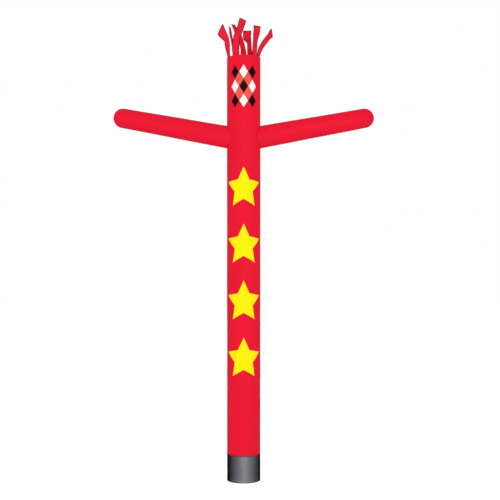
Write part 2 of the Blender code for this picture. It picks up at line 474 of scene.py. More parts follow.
@dataclass(frozen=True)
class Crease:
    """One soft trough or ridge, placed on the flat cloth: metres, and degrees from upright."""

    across: float
    up: float
    lean: float
    reach: float
    width: float
    rise: float

    def height(self, across: Array, up: Array, girth: float) -> Array:
        """The crease's own height at places on the cloth.

        Args:
            across: places round the cloth.
            up: places along it.
            girth: the length round, after which across repeats.

        Returns:
            The height there.
        """
        lean = math.radians(self.lean)
        right = (across - self.across + girth / 2) % girth - girth / 2
        over = up - self.up
        along = right * math.sin(lean) + over * math.cos(lean)
        aside = right * math.cos(lean) - over * math.sin(lean)
        return self.rise * np.exp(-((aside / self.width) ** 2) - (along / self.reach) ** 4)


@dataclass(frozen=True)
class Folds:
    """The soft folds of a skin that air fills."""

    waves: tuple[Wave, ...]
    creases: tuple[Crease, ...]

    def height(self, radius: float, angle: Array, along: Array, mirror: float = 1.0) -> Array:
        """The folds' height at places on a skin.

        Args:
            radius: the plain skin's radius.
            angle: radians round it.
            along: metres along it.
            mirror: what the waves' phases are multiplied by.

        Returns:
            The height there.
        """
        girth = 2 * math.pi * radius
        waves = sum(wave.height(angle, along, mirror) for wave in self.waves)
        return sum((crease.height(angle * radius, along, girth) for crease in self.creases), waves)


@dataclass(frozen=True)
class Puckers:
    """The small dips that stitches draw up beside a seam."""

    reach: float
    depth: float = 0.0007
    sink: float = 0.5  # how far the dips lie below the plain cloth, as a share of their depth
    waves: tuple[tuple[float, float, float], ...] = (
        (0.55, 17.3, 0.11),
        (0.30, 23.9, 0.62),
        (0.25, 9.7, 0.37),
    )

    def height(self, angle: Array, seam: float, radius: Values, along: Array) -> Array:
        """The puckers' own height at places on the cloth.

        Args:
            angle: radians round the cloth.
            seam: the seam's angle.
            radius: the cloth's radius there.
            along: metres along the seam.

        Returns:
            The height there.
        """
        gap = (angle - seam + math.pi) % (2 * math.pi) - math.pi
        near = np.exp(-((gap * radius / self.reach) ** 2))
        return self.depth * near * (uneven(along, self.waves) - self.sink)


class Skin:
    """A curved surface with places (u, v) on it."""

    def points(self, u: Array, v: Array, lift: Values) -> Array:
        """Points of the surface, raised this far off it, with one more axis than the places."""
        raise NotImplementedError


@dataclass(frozen=True)
class TubeSkin(Skin):
    """The air-filled tube. u is the angle from the front towards +X, and v is the height."""

    radius: float = TUBE_RADIUS
    girth: float = 2 * math.pi * TUBE_RADIUS
    foot: float = CUFF_HEIGHT - 0.025
    seam: float = CUFF_HEIGHT + SEWN
    ease: float = 0.006
    rim: float = RIM_HEIGHT
    hem: float = 0.030
    hem_rise: float = 0.0007
    side_seam: float = math.pi / 2
    puckers: Puckers = Puckers(reach=0.030)
    # The folds where the tube is gathered into the cuff, and again, fainter, at the rim's hem: each
    # sine's share, its cycles round the tube and its turns of phase
    gathers: tuple[tuple[float, int, float], ...] = ((0.50, 17, 0.2), (0.35, 26, 0.7), (0.3, 10, 0.45))
    gather: float = 0.0016
    gather_reach: float = 0.050
    rim_share: float = 0.45
    rim_reach: float = 0.03
    rim_shift: float = 0.3
    folds: Folds = Folds(
        waves=(Wave(0.0008, 2, 1.9, 0.4, beat=2.3, beat_phase=1.0), Wave(0.00048, 3, -3.1, 2.2)),
        creases=(
            # Drawn by the arms' roots, which stand at a quarter of the girth either side of the front
            Crease(-0.235, 4.87, -32, 0.085, 0.014, -0.0012),
            Crease(-0.205, 4.83, -48, 0.100, 0.012, 0.0009),
            Crease(-0.225, 4.50, 28, 0.095, 0.013, -0.0012),
            Crease(-0.190, 4.54, 47, 0.080, 0.012, 0.0008),
            Crease(0.232, 4.86, 30, 0.090, 0.014, -0.0012),
            Crease(0.200, 4.82, 50, 0.095, 0.012, 0.0009),
            Crease(0.228, 4.49, -30, 0.090, 0.013, -0.0011),
            Crease(0.195, 4.53, -45, 0.085, 0.012, 0.0009),
            Crease(-0.487, 4.86, 31, 0.090, 0.014, -0.0013),
            Crease(-0.505, 4.51, -33, 0.085, 0.013, -0.0012),
            Crease(0.492, 4.87, -29, 0.095, 0.014, -0.0012),
            Crease(0.500, 4.50, 35, 0.080, 0.012, -0.0013),
            # Long faint ones from folding for the bag
            Crease(0.02, 3.62, 3, 0.30, 0.010, 0.0005),
            Crease(-0.11, 1.10, -4, 0.34, 0.012, -0.0006),
            Crease(0.13, 0.92, 6, 0.26, 0.010, 0.0005),
            Crease(0.55, 2.40, 5, 0.42, 0.012, -0.0007),
            Crease(-0.60, 3.10, -6, 0.38, 0.011, 0.0006),
            Crease(0.70, 1.30, 2, 0.45, 0.012, 0.0007),
            Crease(0.66, 5.15, 8, 0.25, 0.011, -0.0006),
            Crease(-0.05, 0.62, 84, 0.16, 0.012, -0.0006),
            Crease(0.24, 1.68, 80, 0.14, 0.011, 0.0005),
            Crease(-0.26, 2.56, 96, 0.13, 0.011, -0.0005),
            Crease(0.62, 3.85, 86, 0.17, 0.012, -0.0006),
        ),
    )

    def swell(self, angle: Array, height: Array) -> Array:
        """How far the cloth's folds stand out.

        Args:
            angle: radians from the front.
            height: metres above the floor.

        Returns:
            The distance out from the plain tube.
        """
        total = self.folds.height(self.radius, angle, height)
        for side in Side:
            total = total + self.puckers.height(angle, side.value * self.side_seam, self.radius, height)
        across = angle * self.radius
        rounds = tuple((share, cycles / self.girth, phase) for share, cycles, phase in self.gathers)
        above = np.clip(height - self.seam, 0.0, None)
        total = total + self.gather * np.exp(-above / self.gather_reach) * uneven(across, rounds)
        below = np.abs(self.rim - self.hem - height)
        fainter = self.rim_share * self.gather * np.exp(-below / self.rim_reach)
        total = total + fainter * uneven(across + self.rim_shift, rounds)
        return total * smooth_step(height, self.seam, self.seam + 2 * self.ease)

    def drawn(self, height: Array) -> Array:
        """How far the tube's foot is drawn in to fit inside the cuff."""
        return (CLOTH + SEWN) * (1 - smooth_step(height, self.seam, self.seam + self.ease))

    def reach(self, angle: Array, height: Array) -> Array:
        """The outer radius of the cloth at angles from the front and at heights."""
        hem = self.hem_rise * ledge(height, self.rim - self.hem)
        return self.radius - self.drawn(height) + hem + self.swell(angle, height)

    def points(self, u: Array, v: Array, lift: Values) -> Array:
        """Points of the tube."""
        return upright(self.reach(u, v) + lift, u, v)


@dataclass(frozen=True)
class CuffSkin(Skin):
    """The cuff. u is the angle from the front towards +X, and v is the height."""

    radius: float = TUBE_RADIUS
    girth: float = 2 * math.pi * TUBE_RADIUS
    height: float = CUFF_HEIGHT
    turned: float = 0.022
    turned_rise: float = 0.0008
    foot_ease: float = 0.03
    top_ease: float = 0.06
    top_held: float = 0.6  # the share of its folds that the seam at its top holds flat
    folds: Folds = Folds(
        waves=(Wave(0.0009, 5, 0.0, 0.7, beat=9.0, beat_phase=0.3), Wave(0.00054, 11, 14.0, 0.0)),
        creases=(
            Crease(-0.16, 0.20, 12, 0.10, 0.012, -0.0010),
            Crease(0.09, 0.16, -9, 0.09, 0.012, -0.0008),
            Crease(0.25, 0.23, 20, 0.07, 0.011, 0.0008),
            Crease(-0.34, 0.17, -14, 0.10, 0.012, 0.0008),
            Crease(0.48, 0.21, 8, 0.09, 0.012, -0.0010),
            Crease(-0.55, 0.24, -20, 0.08, 0.011, -0.0009),
            Crease(0.02, 0.06, 82, 0.09, 0.011, 0.0006),
            Crease(-0.62, 0.07, 95, 0.10, 0.011, 0.0007),
        ),
    )

    def points(self, u: Array, v: Array, lift: Values) -> Array:
        """Points of the cuff.

        Args:
            u: radians from the front.
            v: metres above the floor.
            lift: how far out, in metres.

        Returns:
            The points, with one more axis than u.
        """
        held = self.top_held * smooth_step(v, self.height - self.top_ease, self.height)
        shown = smooth_step(v, 0.0, self.foot_ease) * (1 - held)
        folds = self.folds.height(self.radius, u, v) * shown
        edge = self.turned_rise * ledge(v, self.height - self.turned)
        return upright(self.radius + folds + edge + lift, u, v)


@dataclass(frozen=True)
class ArmSkin(Skin):
    """A tapered sleeve with a rounded hand. u is the angle round it, from the front (0) over the top
    (a quarter turn), and v is the distance along it from the tube's axis."""

    side: Side
    tube: TubeSkin
    shoulder_height: float = 4.674
    rise: float = math.radians(10.27)
    shoulder_radius: float = 0.1554
    hand_radius: float = 0.1325
    length: float = 1.686
    panel_seams: tuple[float, float] = (math.pi / 2, -math.pi / 2)
    puckers: Puckers = Puckers(reach=0.026)
    smooth_tip: float = 0.05  # the length at the hand's tip that has no folds
    root_start: float = 0.18  # the first guess at where it meets the tube
    root_rounds: int = 24
    folds: Folds = Folds(
        waves=(Wave(0.0008, 2, 4.1, 0.9, beat=3.7, beat_phase=0.6), Wave(0.0004, 3, -6.3, 1.8)),
        creases=(
            Crease(0.05, 0.36, 38, 0.07, 0.012, -0.0012),
            Crease(-0.09, 0.34, -30, 0.06, 0.012, 0.0009),
            Crease(0.16, 0.40, 20, 0.08, 0.012, -0.0010),
            Crease(0.42, 0.37, -26, 0.07, 0.012, -0.0011),
            Crease(0.56, 0.42, 24, 0.08, 0.012, 0.0009),
            Crease(-0.02, 0.95, 6, 0.20, 0.010, 0.0006),
            Crease(0.10, 1.25, -8, 0.17, 0.010, -0.0006),
            Crease(0.50, 1.05, 5, 0.24, 0.011, 0.0007),
            Crease(-0.10, 0.70, 86, 0.05, 0.011, -0.0007),
            Crease(0.08, 1.52, 92, 0.06, 0.010, -0.0007),
            Crease(0.44, 1.44, 84, 0.07, 0.010, 0.0006),
        ),
    )

    @property
    def start(self) -> Array:
        """Where the sleeve's axis starts, on the tube's axis."""
        return np.array([0.0, 0.0, self.shoulder_height])

    @property
    def axis(self) -> Array:
        """The direction from shoulder to hand."""
        return np.array([self.side.value * math.cos(self.rise), 0.0, math.sin(self.rise)])

    @property
    def upward(self) -> Array:
        """The direction square to the axis that points up."""
        return np.array([-self.side.value * math.sin(self.rise), 0.0, math.cos(self.rise)])

    @property
    def tip(self) -> float:
        """The value of v at the end of the hand."""
        return self.length + self.hand_radius * math.pi / 2

    def radius(self, along: Values) -> Values:
        """The plain sleeve's outer radius at distances along it."""
        share = np.minimum(along, self.length) / self.length
        return self.shoulder_radius + (self.hand_radius - self.shoulder_radius) * share

    def swell(self, angle: Array, along: Array) -> Array:
        """How far the cloth's folds stand out.

        Args:
            angle: radians round the sleeve.
            along: metres along it.

        Returns:
            The distance out from the plain sleeve.
        """
        total = self.folds.height(self.shoulder_radius, angle, along, self.side.value)
        for seam in self.panel_seams:
            total = total + self.puckers.height(angle, seam, self.radius(along), along + seam)
        return total * (1 - smooth_step(along, self.length, self.tip - self.smooth_tip))

    def around(self, along: Values, reach: Array, angle: Array) -> Array:
        """Points this far along the sleeve's axis and out from it, at angles from the front upward."""
        out = np.cos(angle)[..., None] * FRONT + np.sin(angle)[..., None] * self.upward
        return self.start + np.asarray(along)[..., None] * self.axis + np.asarray(reach)[..., None] * out

    def points(self, u: Array, v: Array, lift: Values) -> Array:
        """Points of the sleeve.

        Args:
            u: radians round the sleeve.
            v: metres along it, over the round of the hand too.
            lift: how far out, in metres.

        Returns:
            The points, with one more axis than u.
        """
        u, v = np.broadcast_arrays(np.asarray(u, float), np.asarray(v, float))
        round_hand = np.clip((v - self.length) / self.hand_radius, 0.0, math.pi / 2)
        reach = self.radius(v) + self.swell(u, v) + lift
        along = np.minimum(v, self.length) + reach * np.sin(round_hand)
        return self.around(along, reach * np.cos(round_hand), u)

    def root(self, angle: Array, lift: float = 0.0) -> Array:
        """Where along the sleeve it meets the tube.

        Args:
            angle: radians round the sleeve.
            lift: how far the surface asked for stands off the sleeve.

        Returns:
            The distance along at each angle.
        """
        along = np.full_like(angle, self.root_start)
        for _ in range(self.root_rounds):
            x, y, z = np.moveaxis(self.points(angle, along, lift), -1, 0)
            wall = self.tube.reach(np.arctan2(x, -y), z) + SEWN
            # A step of most of the gap, longer where the sleeve's side meets the wall at a slant
            along = along + 0.8 * (wall - np.hypot(x, y)) * wall / np.maximum(np.abs(x), 0.05)
        return along


# Mesh making


@dataclass(frozen=True)
class Net:
    """A rectangular net of points, each with its place on the flat cloth, and the net's island in the
    bake map: its left, foot, right and top."""

    points: Array
    cloth: Array
    island: Island


def add_mesh(
    name: str, points: Array, faces: list[tuple[int, ...]] | Array, finishes: list[Material]
) -> Piece:
    """Adds a mesh object to the scene.

    Args:
        name: the piece's name.
        points: its vertices.
        faces: its faces, as vertex numbers.
        finishes: its materials.

    Returns:
        The object.
    """
    mesh = bpy.data.meshes.new(name)
    corners = [tuple(p) for p in np.asarray(points, float)]
    mesh.from_pydata(corners, [], [tuple(map(int, f)) for f in faces])
    for finish in finishes:
        mesh.materials.append(finish)
    obj = bpy.data.objects.new(name, mesh)
    bpy.context.scene.collection.objects.link(obj)
    return obj


def add_map(obj: Piece, name: str, places: Array, corners: Array) -> None:
    """Adds a UV map of each vertex's place to a mesh; corners are its faces' vertices in order."""
    layer = obj.data.uv_layers.new(name=name)
    layer.data.foreach_set("uv", places[corners].astype(np.float32).ravel())


def close_up(obj: Piece, fill: bool = False, sharp: float = SHARP_ANGLE) -> None:
    """Joins the points that meet, turns the faces outward and shades the mesh smooth.

    Args:
        obj: the piece.
        fill: whether its open ends are filled.
        sharp: the angle from which an edge stays sharp.
    """
    work = bmesh.new()
    work.from_mesh(obj.data)
    bmesh.ops.remove_doubles(work, verts=work.verts, dist=MERGE)
    if fill:
        open_edges = [edge for edge in work.edges if edge.is_boundary]
        bmesh.ops.holes_fill(work, edges=open_edges, sides=0)
    bmesh.ops.dissolve_degenerate(work, edges=work.edges, dist=MERGE / 4)
    bmesh.ops.recalc_face_normals(work, faces=work.faces)
    work.to_mesh(obj.data)
    work.free()
    obj.data.shade_smooth()
    obj.data.set_sharp_from_angle(angle=sharp)


def sew(name: str, nets: list[Net], finishes: list[Material], fill: bool = False) -> Piece:
    """Makes one closed piece from nets whose borders meet.

    Args:
        name: the piece's name.
        nets: the nets.
        finishes: the piece's materials.
        fill: whether its open ends are filled.

    Returns:
        The piece.
    """
    points, faces, cloth, bake = [], [], [], []
    start = 0
    for net in nets:
        rows, columns = net.points.shape[:2]
        index = np.arange(rows * columns).reshape(rows, columns) + start
        quads = np.stack([index[:-1, :-1], index[:-1, 1:], index[1:, 1:], index[1:, :-1]], axis=-1)
        faces.append(quads.reshape(-1, 4))
        points.append(net.points.reshape(-1, 3))
        cloth.append(net.cloth.reshape(-1, 2))
        x0, y0, x1, y1 = net.island
        across, up = np.meshgrid(np.linspace(x0, x1, columns), np.linspace(y0, y1, rows))
        bake.append(np.stack([across, up], axis=-1).reshape(-1, 2))
        start += rows * columns
    all_faces = np.concatenate(faces)
    obj = add_mesh(name, np.concatenate(points), all_faces, finishes)
    for map_name, places in ((CLOTH_MAP, cloth), (BAKE_MAP, bake)):
        add_map(obj, map_name, np.concatenate(places), all_faces.reshape(-1))
    close_up(obj, fill)
    return obj


def rim_net(first: Array, second: Array, cloth: Array, island: Island) -> Net:
    """The narrow net that joins the edges of two nets, of which cloth places the first on the flat."""
    beyond = cloth + np.array([0.0, CLOTH])
    return Net(np.stack([first, second]), np.stack([cloth, beyond]), island)


def crest_of(outer: Array, inner: Array, height: float) -> Array:
    """The line along the top of a fold, halfway between the tops of its two sides, at this height."""
    middle = (outer + inner) / 2
    return np.column_stack([middle[:, :2], np.full(len(middle), height)])


def unrolled(radius: float, angle: Array, along: Array) -> Array:
    """Places on the flat cloth of what is round a tube."""
    return np.stack([angle * radius, along], axis=-1)


def spaced(stops: tuple[tuple[float, float], ...], end: float) -> Array:
    """Row heights that are close together where they need to be.

    Args:
        stops: rows of where a stretch starts and the step within it.
        end: where the last stretch ends.

    Returns:
        The heights, from the first start to the end.
    """
    heights = []
    for (start, step), (following, _) in zip(stops, stops[1:] + ((end, 0.0),)):
        count = max(round((following - start) / step), 1)
        heights += [start + (following - start) * i / count for i in range(count)]
    return np.array(heights + [end])


def rows_at(where: Array, stops: Array, rows: Array) -> Array:
    """A table's rows at places between its stops."""
    return np.stack([np.interp(where, stops, column) for column in rows.T], axis=-1)


@dataclass(frozen=True)
class Path:
    """A line on a skin, held as points with their outward and sideways directions."""

    at: Array
    outward: Array
    sideways: Array
    along: Array

    def sample(self, where: Array) -> "Path":
        """The same line, with its points at these distances along it."""
        parts = (self.at, self.outward, self.sideways)
        return Path(*(rows_at(where, self.along, part) for part in parts), where)

    def beside(self, aside: float) -> "Path":
        """The line that runs beside this one at this distance."""
        return Path(self.at + self.sideways * aside, self.outward, self.sideways, self.along)

    def pair(self, gap: float) -> list["Path"]:
        """The two lines that run either side of this one, this far apart."""
        return [self.beside(-gap / 2), self.beside(gap / 2)]

    def on_face(self, face: int, lift: float) -> "Path":
        """The line on one face of a cloth, 1 for outer and -1 for inner, this far off its middle."""
        return Path(self.at + self.outward * (face * lift), self.outward * face, self.sideways, self.along)


def trace(skin: Skin, u: Values, v: Values) -> Path:
    """Follows a line over a skin.

    Args:
        skin: the surface.
        u: its first coordinate along the line.
        v: its second.

    Returns:
        The line.
    """
    u, v = np.broadcast_arrays(np.asarray(u, float), np.asarray(v, float))
    at = skin.points(u, v, 0.0)
    outward = skin.points(u, v, 0.01) - at
    outward = outward / np.linalg.norm(outward, axis=1, keepdims=True)
    ahead = np.gradient(at, axis=0)
    sideways = np.cross(outward, ahead)
    sideways = sideways / np.maximum(np.linalg.norm(sideways, axis=1, keepdims=True), 1e-9)
    steps = np.linalg.norm(np.diff(at, axis=0), axis=1)
    return Path(at, outward, sideways, np.concatenate([[0.0], np.cumsum(steps)]))


def box_line(skin: Skin, u_ends: tuple[float, float], v_ends: tuple[float, float], steps: int = 12) -> Path:
    """Follows the four sides of a box over a skin.

    Args:
        skin: the surface.
        u_ends: the first coordinate at the box's left and right.
        v_ends: the second at its bottom and top.
        steps: how many points each side has.

    Returns:
        The line.
    """
    corners = [(0, 0), (1, 0), (1, 1), (0, 1), (0, 0)]
    sides = [np.linspace(a, b, steps, endpoint=False) for a, b in zip(corners, corners[1:])]
    places = np.concatenate([*sides, [corners[-1]]])
    spans = [low + (high - low) * places[:, i] for i, (low, high) in enumerate((u_ends, v_ends))]
    return trace(skin, *spans)


@dataclass(frozen=True)
class FelledSeam:
    """Two edges folded into each other and sewn flat: a low band over the skin."""

    width: float = 0.012
    rise: float = 0.0009
    sunk: float = 0.0012
    shoulder: float = 0.0012
    # Heights as shares of the rise: at the folded edge, in the middle and at the edge that is sewn down
    folded: float = 0.55
    crown: float = 1.12
    pressed: float = 0.25

    def net(self, path: Path, island: Island) -> Net:
        """The band's closed section along a line.

        Args:
            path: the line that it follows.
            island: its place in the bake map.

        Returns:
            Its net.
        """
        half = self.width / 2
        section = (
            (-half, -self.sunk),
            (-half, self.rise * self.folded),
            (-half + self.shoulder, self.rise),
            (0.0, self.rise * self.crown),
            (half - self.shoulder, self.rise),
            (half, self.rise * self.pressed),
            (half, -self.sunk),
            (-half, -self.sunk),
        )
        columns = [path.at + path.sideways * aside + path.outward * lift for aside, lift in section]
        widths = np.array([aside for aside, _ in section])
        cloth = np.stack(np.broadcast_arrays(widths[None, :], path.along[:, None]), axis=-1)
        return Net(np.stack(columns, axis=1), cloth, island)


@dataclass(frozen=True)
class Lockstitch:
    """A row of machine stitches. A real one is 4 mm long, drawn here at 6 mm and a little thick."""

    pitch: float = 0.0060
    length: float = 0.0044
    width: float = 0.0009
    rise: float = 0.0006
    lift: float = 0.0  # how far the cloth's face is off the line
    dip: float = 0.0001  # how far its ends go into the cloth
    # Heights as shares of the rise: at the widest and at the underside
    flank: float = 0.4
    under: float = 0.5

    def mesh(self, path: Path) -> tuple[Array, Array]:
        """The stitches along a line: each is a long lozenge whose ends dip into the cloth.

        Args:
            path: the line that they follow.

        Returns:
            Their vertices and triangles.
        """
        count = max(int(path.along[-1] / self.pitch), 1)
        middle = (np.arange(count) + 0.5) * path.along[-1] / count
        start, centre, end = (path.sample(middle + shift * self.length / 2) for shift in (-1.0, 0.0, 1.0))
        ends = [part.at + part.outward * (self.lift - self.dip) for part in (start, end)]
        raised = centre.at + centre.outward * self.lift
        side = centre.sideways * self.width / 2
        flank = centre.outward * self.rise * self.flank
        ring = [
            raised + side + flank,
            raised + centre.outward * self.rise,
            raised - side + flank,
            raised - centre.outward * self.rise * self.under,
        ]
        points = np.stack([*ends, *ring], axis=1).reshape(-1, 3)
        faces = []
        for a, b in ((2, 3), (3, 4), (4, 5), (5, 2)):
            faces += [(0, a, b), (1, b, a)]
        base = np.arange(count)[:, None, None] * (len(ends) + len(ring))
        return points, (np.array(faces)[None] + base).reshape(-1, 3)


def attach(piece: Piece, stands_for: tuple[str, ...] = ()) -> Piece:
    """Makes a piece ride on the body, and hides the solids that it stands for.

    Args:
        piece: the piece.
        stands_for: the solids' names.

    Returns:
        The piece.
    """
    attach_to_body(piece, ROOT)
    if stands_for:
        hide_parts(*stands_for)
    LOG.info("%s: %d faces", piece.name, len(piece.data.polygons))
    return piece


def sew_rows(name: str, rows: list[Path], finish: Material, lift: float = 0.0) -> Piece:
    """Makes and attaches one piece of all the stitches in these rows.

    Args:
        name: the piece's name.
        rows: the lines that the rows follow.
        finish: the thread.
        lift: how far the cloth's face is off the lines.

    Returns:
        The piece.
    """
    points, faces, start = [], [], 0
    for row in rows:
        row_points, row_faces = Lockstitch(lift=lift).mesh(row)
        points.append(row_points)
        faces.append(row_faces + start)
        start += len(row_points)
    obj = add_mesh(name, np.concatenate(points), np.concatenate(faces), [finish])
    close_up(obj, sharp=math.pi)
    return attach(obj)


def fell(name: str, paths: list[Path], finish: Material, seam: FelledSeam) -> Piece:
    """Makes and attaches one piece of the felled seams along these lines.

    Args:
        name: the piece's name.
        paths: the lines.
        finish: its material.
        seam: its section.

    Returns:
        The piece.
    """
    count = len(paths)
    islands = [((i + 0.05) / count, 0.02, (i + 0.95) / count, 0.98) for i in range(count)]
    nets = [seam.net(path, island) for path, island in zip(paths, islands)]
    return attach(sew(name, nets, [finish], fill=True))


# Prints


def star(middle: Place, size: tuple[float, float], tips: int, inner: float) -> Outline:
    """A star's outline.

    Args:
        middle: its centre on the cloth.
        size: its half width and half height.
        tips: how many points it has.
        inner: its inner corners' share of the outer radius.

    Returns:
        The outline's corners.
    """
    corners = []
    for i in range(2 * tips):
        turn = math.pi * i / tips
        share = inner if i % 2 else 1.0
        across, up = share * size[0] * math.sin(turn), share * size[1] * math.cos(turn)
        corners.append((middle[0] + across, middle[1] + up))
    return corners


def lozenge(middle: Place, size: tuple[float, float]) -> Outline:
    """The outline of a lozenge with this half width and half height."""
    corners = ((0, 1), (1, 0), (0, -1), (-1, 0))
    return [(middle[0] + size[0] * across, middle[1] + size[1] * up) for across, up in corners]


@dataclass(frozen=True)
class ScreenPrint:
    """Ink shapes on the tube, each a thin closed slab that sinks into the cloth."""

    skin: TubeSkin
    step: float = 0.012
    thickness: float = 0.0005
    sunk: float = 0.0010
    edge_share: float = 0.8  # the step along an outline, as a share of the step within it
    clear_share: float = 0.45  # how near an outline an inner point may be, as a share of the step

    def divided(self, outline: Outline) -> Array:
        """An outline with its long sides divided.

        Args:
            outline: its corners.

        Returns:
            Its corners, and the places between them.
        """
        places = []
        for start, end in zip(outline, outline[1:] + outline[:1]):
            a, b = np.array(start), np.array(end)
            count = max(int(math.ceil(np.linalg.norm(b - a) / (self.step * self.edge_share))), 1)
            places += [a + (b - a) * i / count for i in range(count)]
        return np.array(places)

    @staticmethod
    def inside(places: Array, ring: Array) -> Array:
        """Which places lie inside an outline.

        Args:
            places: the places on the cloth.
            ring: the outline's corners.

        Returns:
            One flag a place.
        """
        within = np.zeros(len(places), bool)
        for (x0, y0), (x1, y1) in zip(ring, np.roll(ring, -1, axis=0)):
            if y0 == y1:
                continue
            crosses = (y0 > places[:, 1]) != (y1 > places[:, 1])
            edge = x0 + (x1 - x0) * (places[:, 1] - y0) / (y1 - y0)
            within ^= crosses & (places[:, 0] < edge)
        return within

    def fill(self, outline: Outline) -> tuple[Array, list[tuple[int, ...]]]:
        """Fills one shape with small triangles.

        Args:
            outline: its outline.

        Returns:
            The places on the cloth and the triangles.
        """
        ring = self.divided(outline)
        low, high = ring.min(axis=0), ring.max(axis=0)
        lines = [np.arange(start + self.step / 2, end, self.step) for start, end in zip(low, high)]
        across, up = np.meshgrid(*lines)
        spots = np.stack([across.ravel(), up.ravel()], axis=-1)
        spots = spots[self.inside(spots, ring)]
        gaps = np.linalg.norm(spots[:, None] - ring[None], axis=-1).min(axis=1)
        spots = spots[gaps > self.step * self.clear_share]
        edges = [(i, (i + 1) % len(ring)) for i in range(len(ring))]
        every = [Vector(p) for p in np.concatenate([ring, spots])]
        places, _, triangles, *_ = delaunay_2d_cdt(every, edges, [], 0, 1e-7, False)
        places = np.array([tuple(p) for p in places])
        middles = np.array([places[list(t)].mean(axis=0) for t in triangles])
        return places, [t for t, kept in zip(triangles, self.inside(middles, ring)) if kept]

    def build(self, name: str, outlines: list[Outline], finish: Material) -> Piece:
        """Makes one ink's shapes.

        Args:
            name: the piece's name.
            outlines: the shapes' outlines.
            finish: the ink.

        Returns:
            The piece.
        """
        points, faces, cloth, start = [], [], [], 0
        for outline in outlines:
            places, triangles = self.fill(outline)
            angle, height = places[:, 0] / self.skin.radius, places[:, 1]
            count = len(places)
            points += [self.skin.points(angle, height, lift) for lift in (self.thickness, -self.sunk)]
            cloth += [places, places]
            sides: dict[tuple[int, int], tuple[int, int]] = {}
            for a, b, c in triangles:
                faces.append((start + a, start + b, start + c))
                faces.append((start + count + c, start + count + b, start + count + a))
                for edge in ((a, b), (b, c), (c, a)):
                    if sides.pop((edge[1], edge[0]), None) is None:
                        sides[edge] = edge
            for a, b in sides.values():
                faces.append((start + b, start + a, start + count + a, start + count + b))
            start += 2 * count
        obj = add_mesh(name, np.concatenate(points), faces, [finish])
        corners = np.array([loop.vertex_index for loop in obj.data.loops])
        add_map(obj, CLOTH_MAP, np.concatenate(cloth), corners)
        close_up(obj)
        return obj


# Sub-assemblies


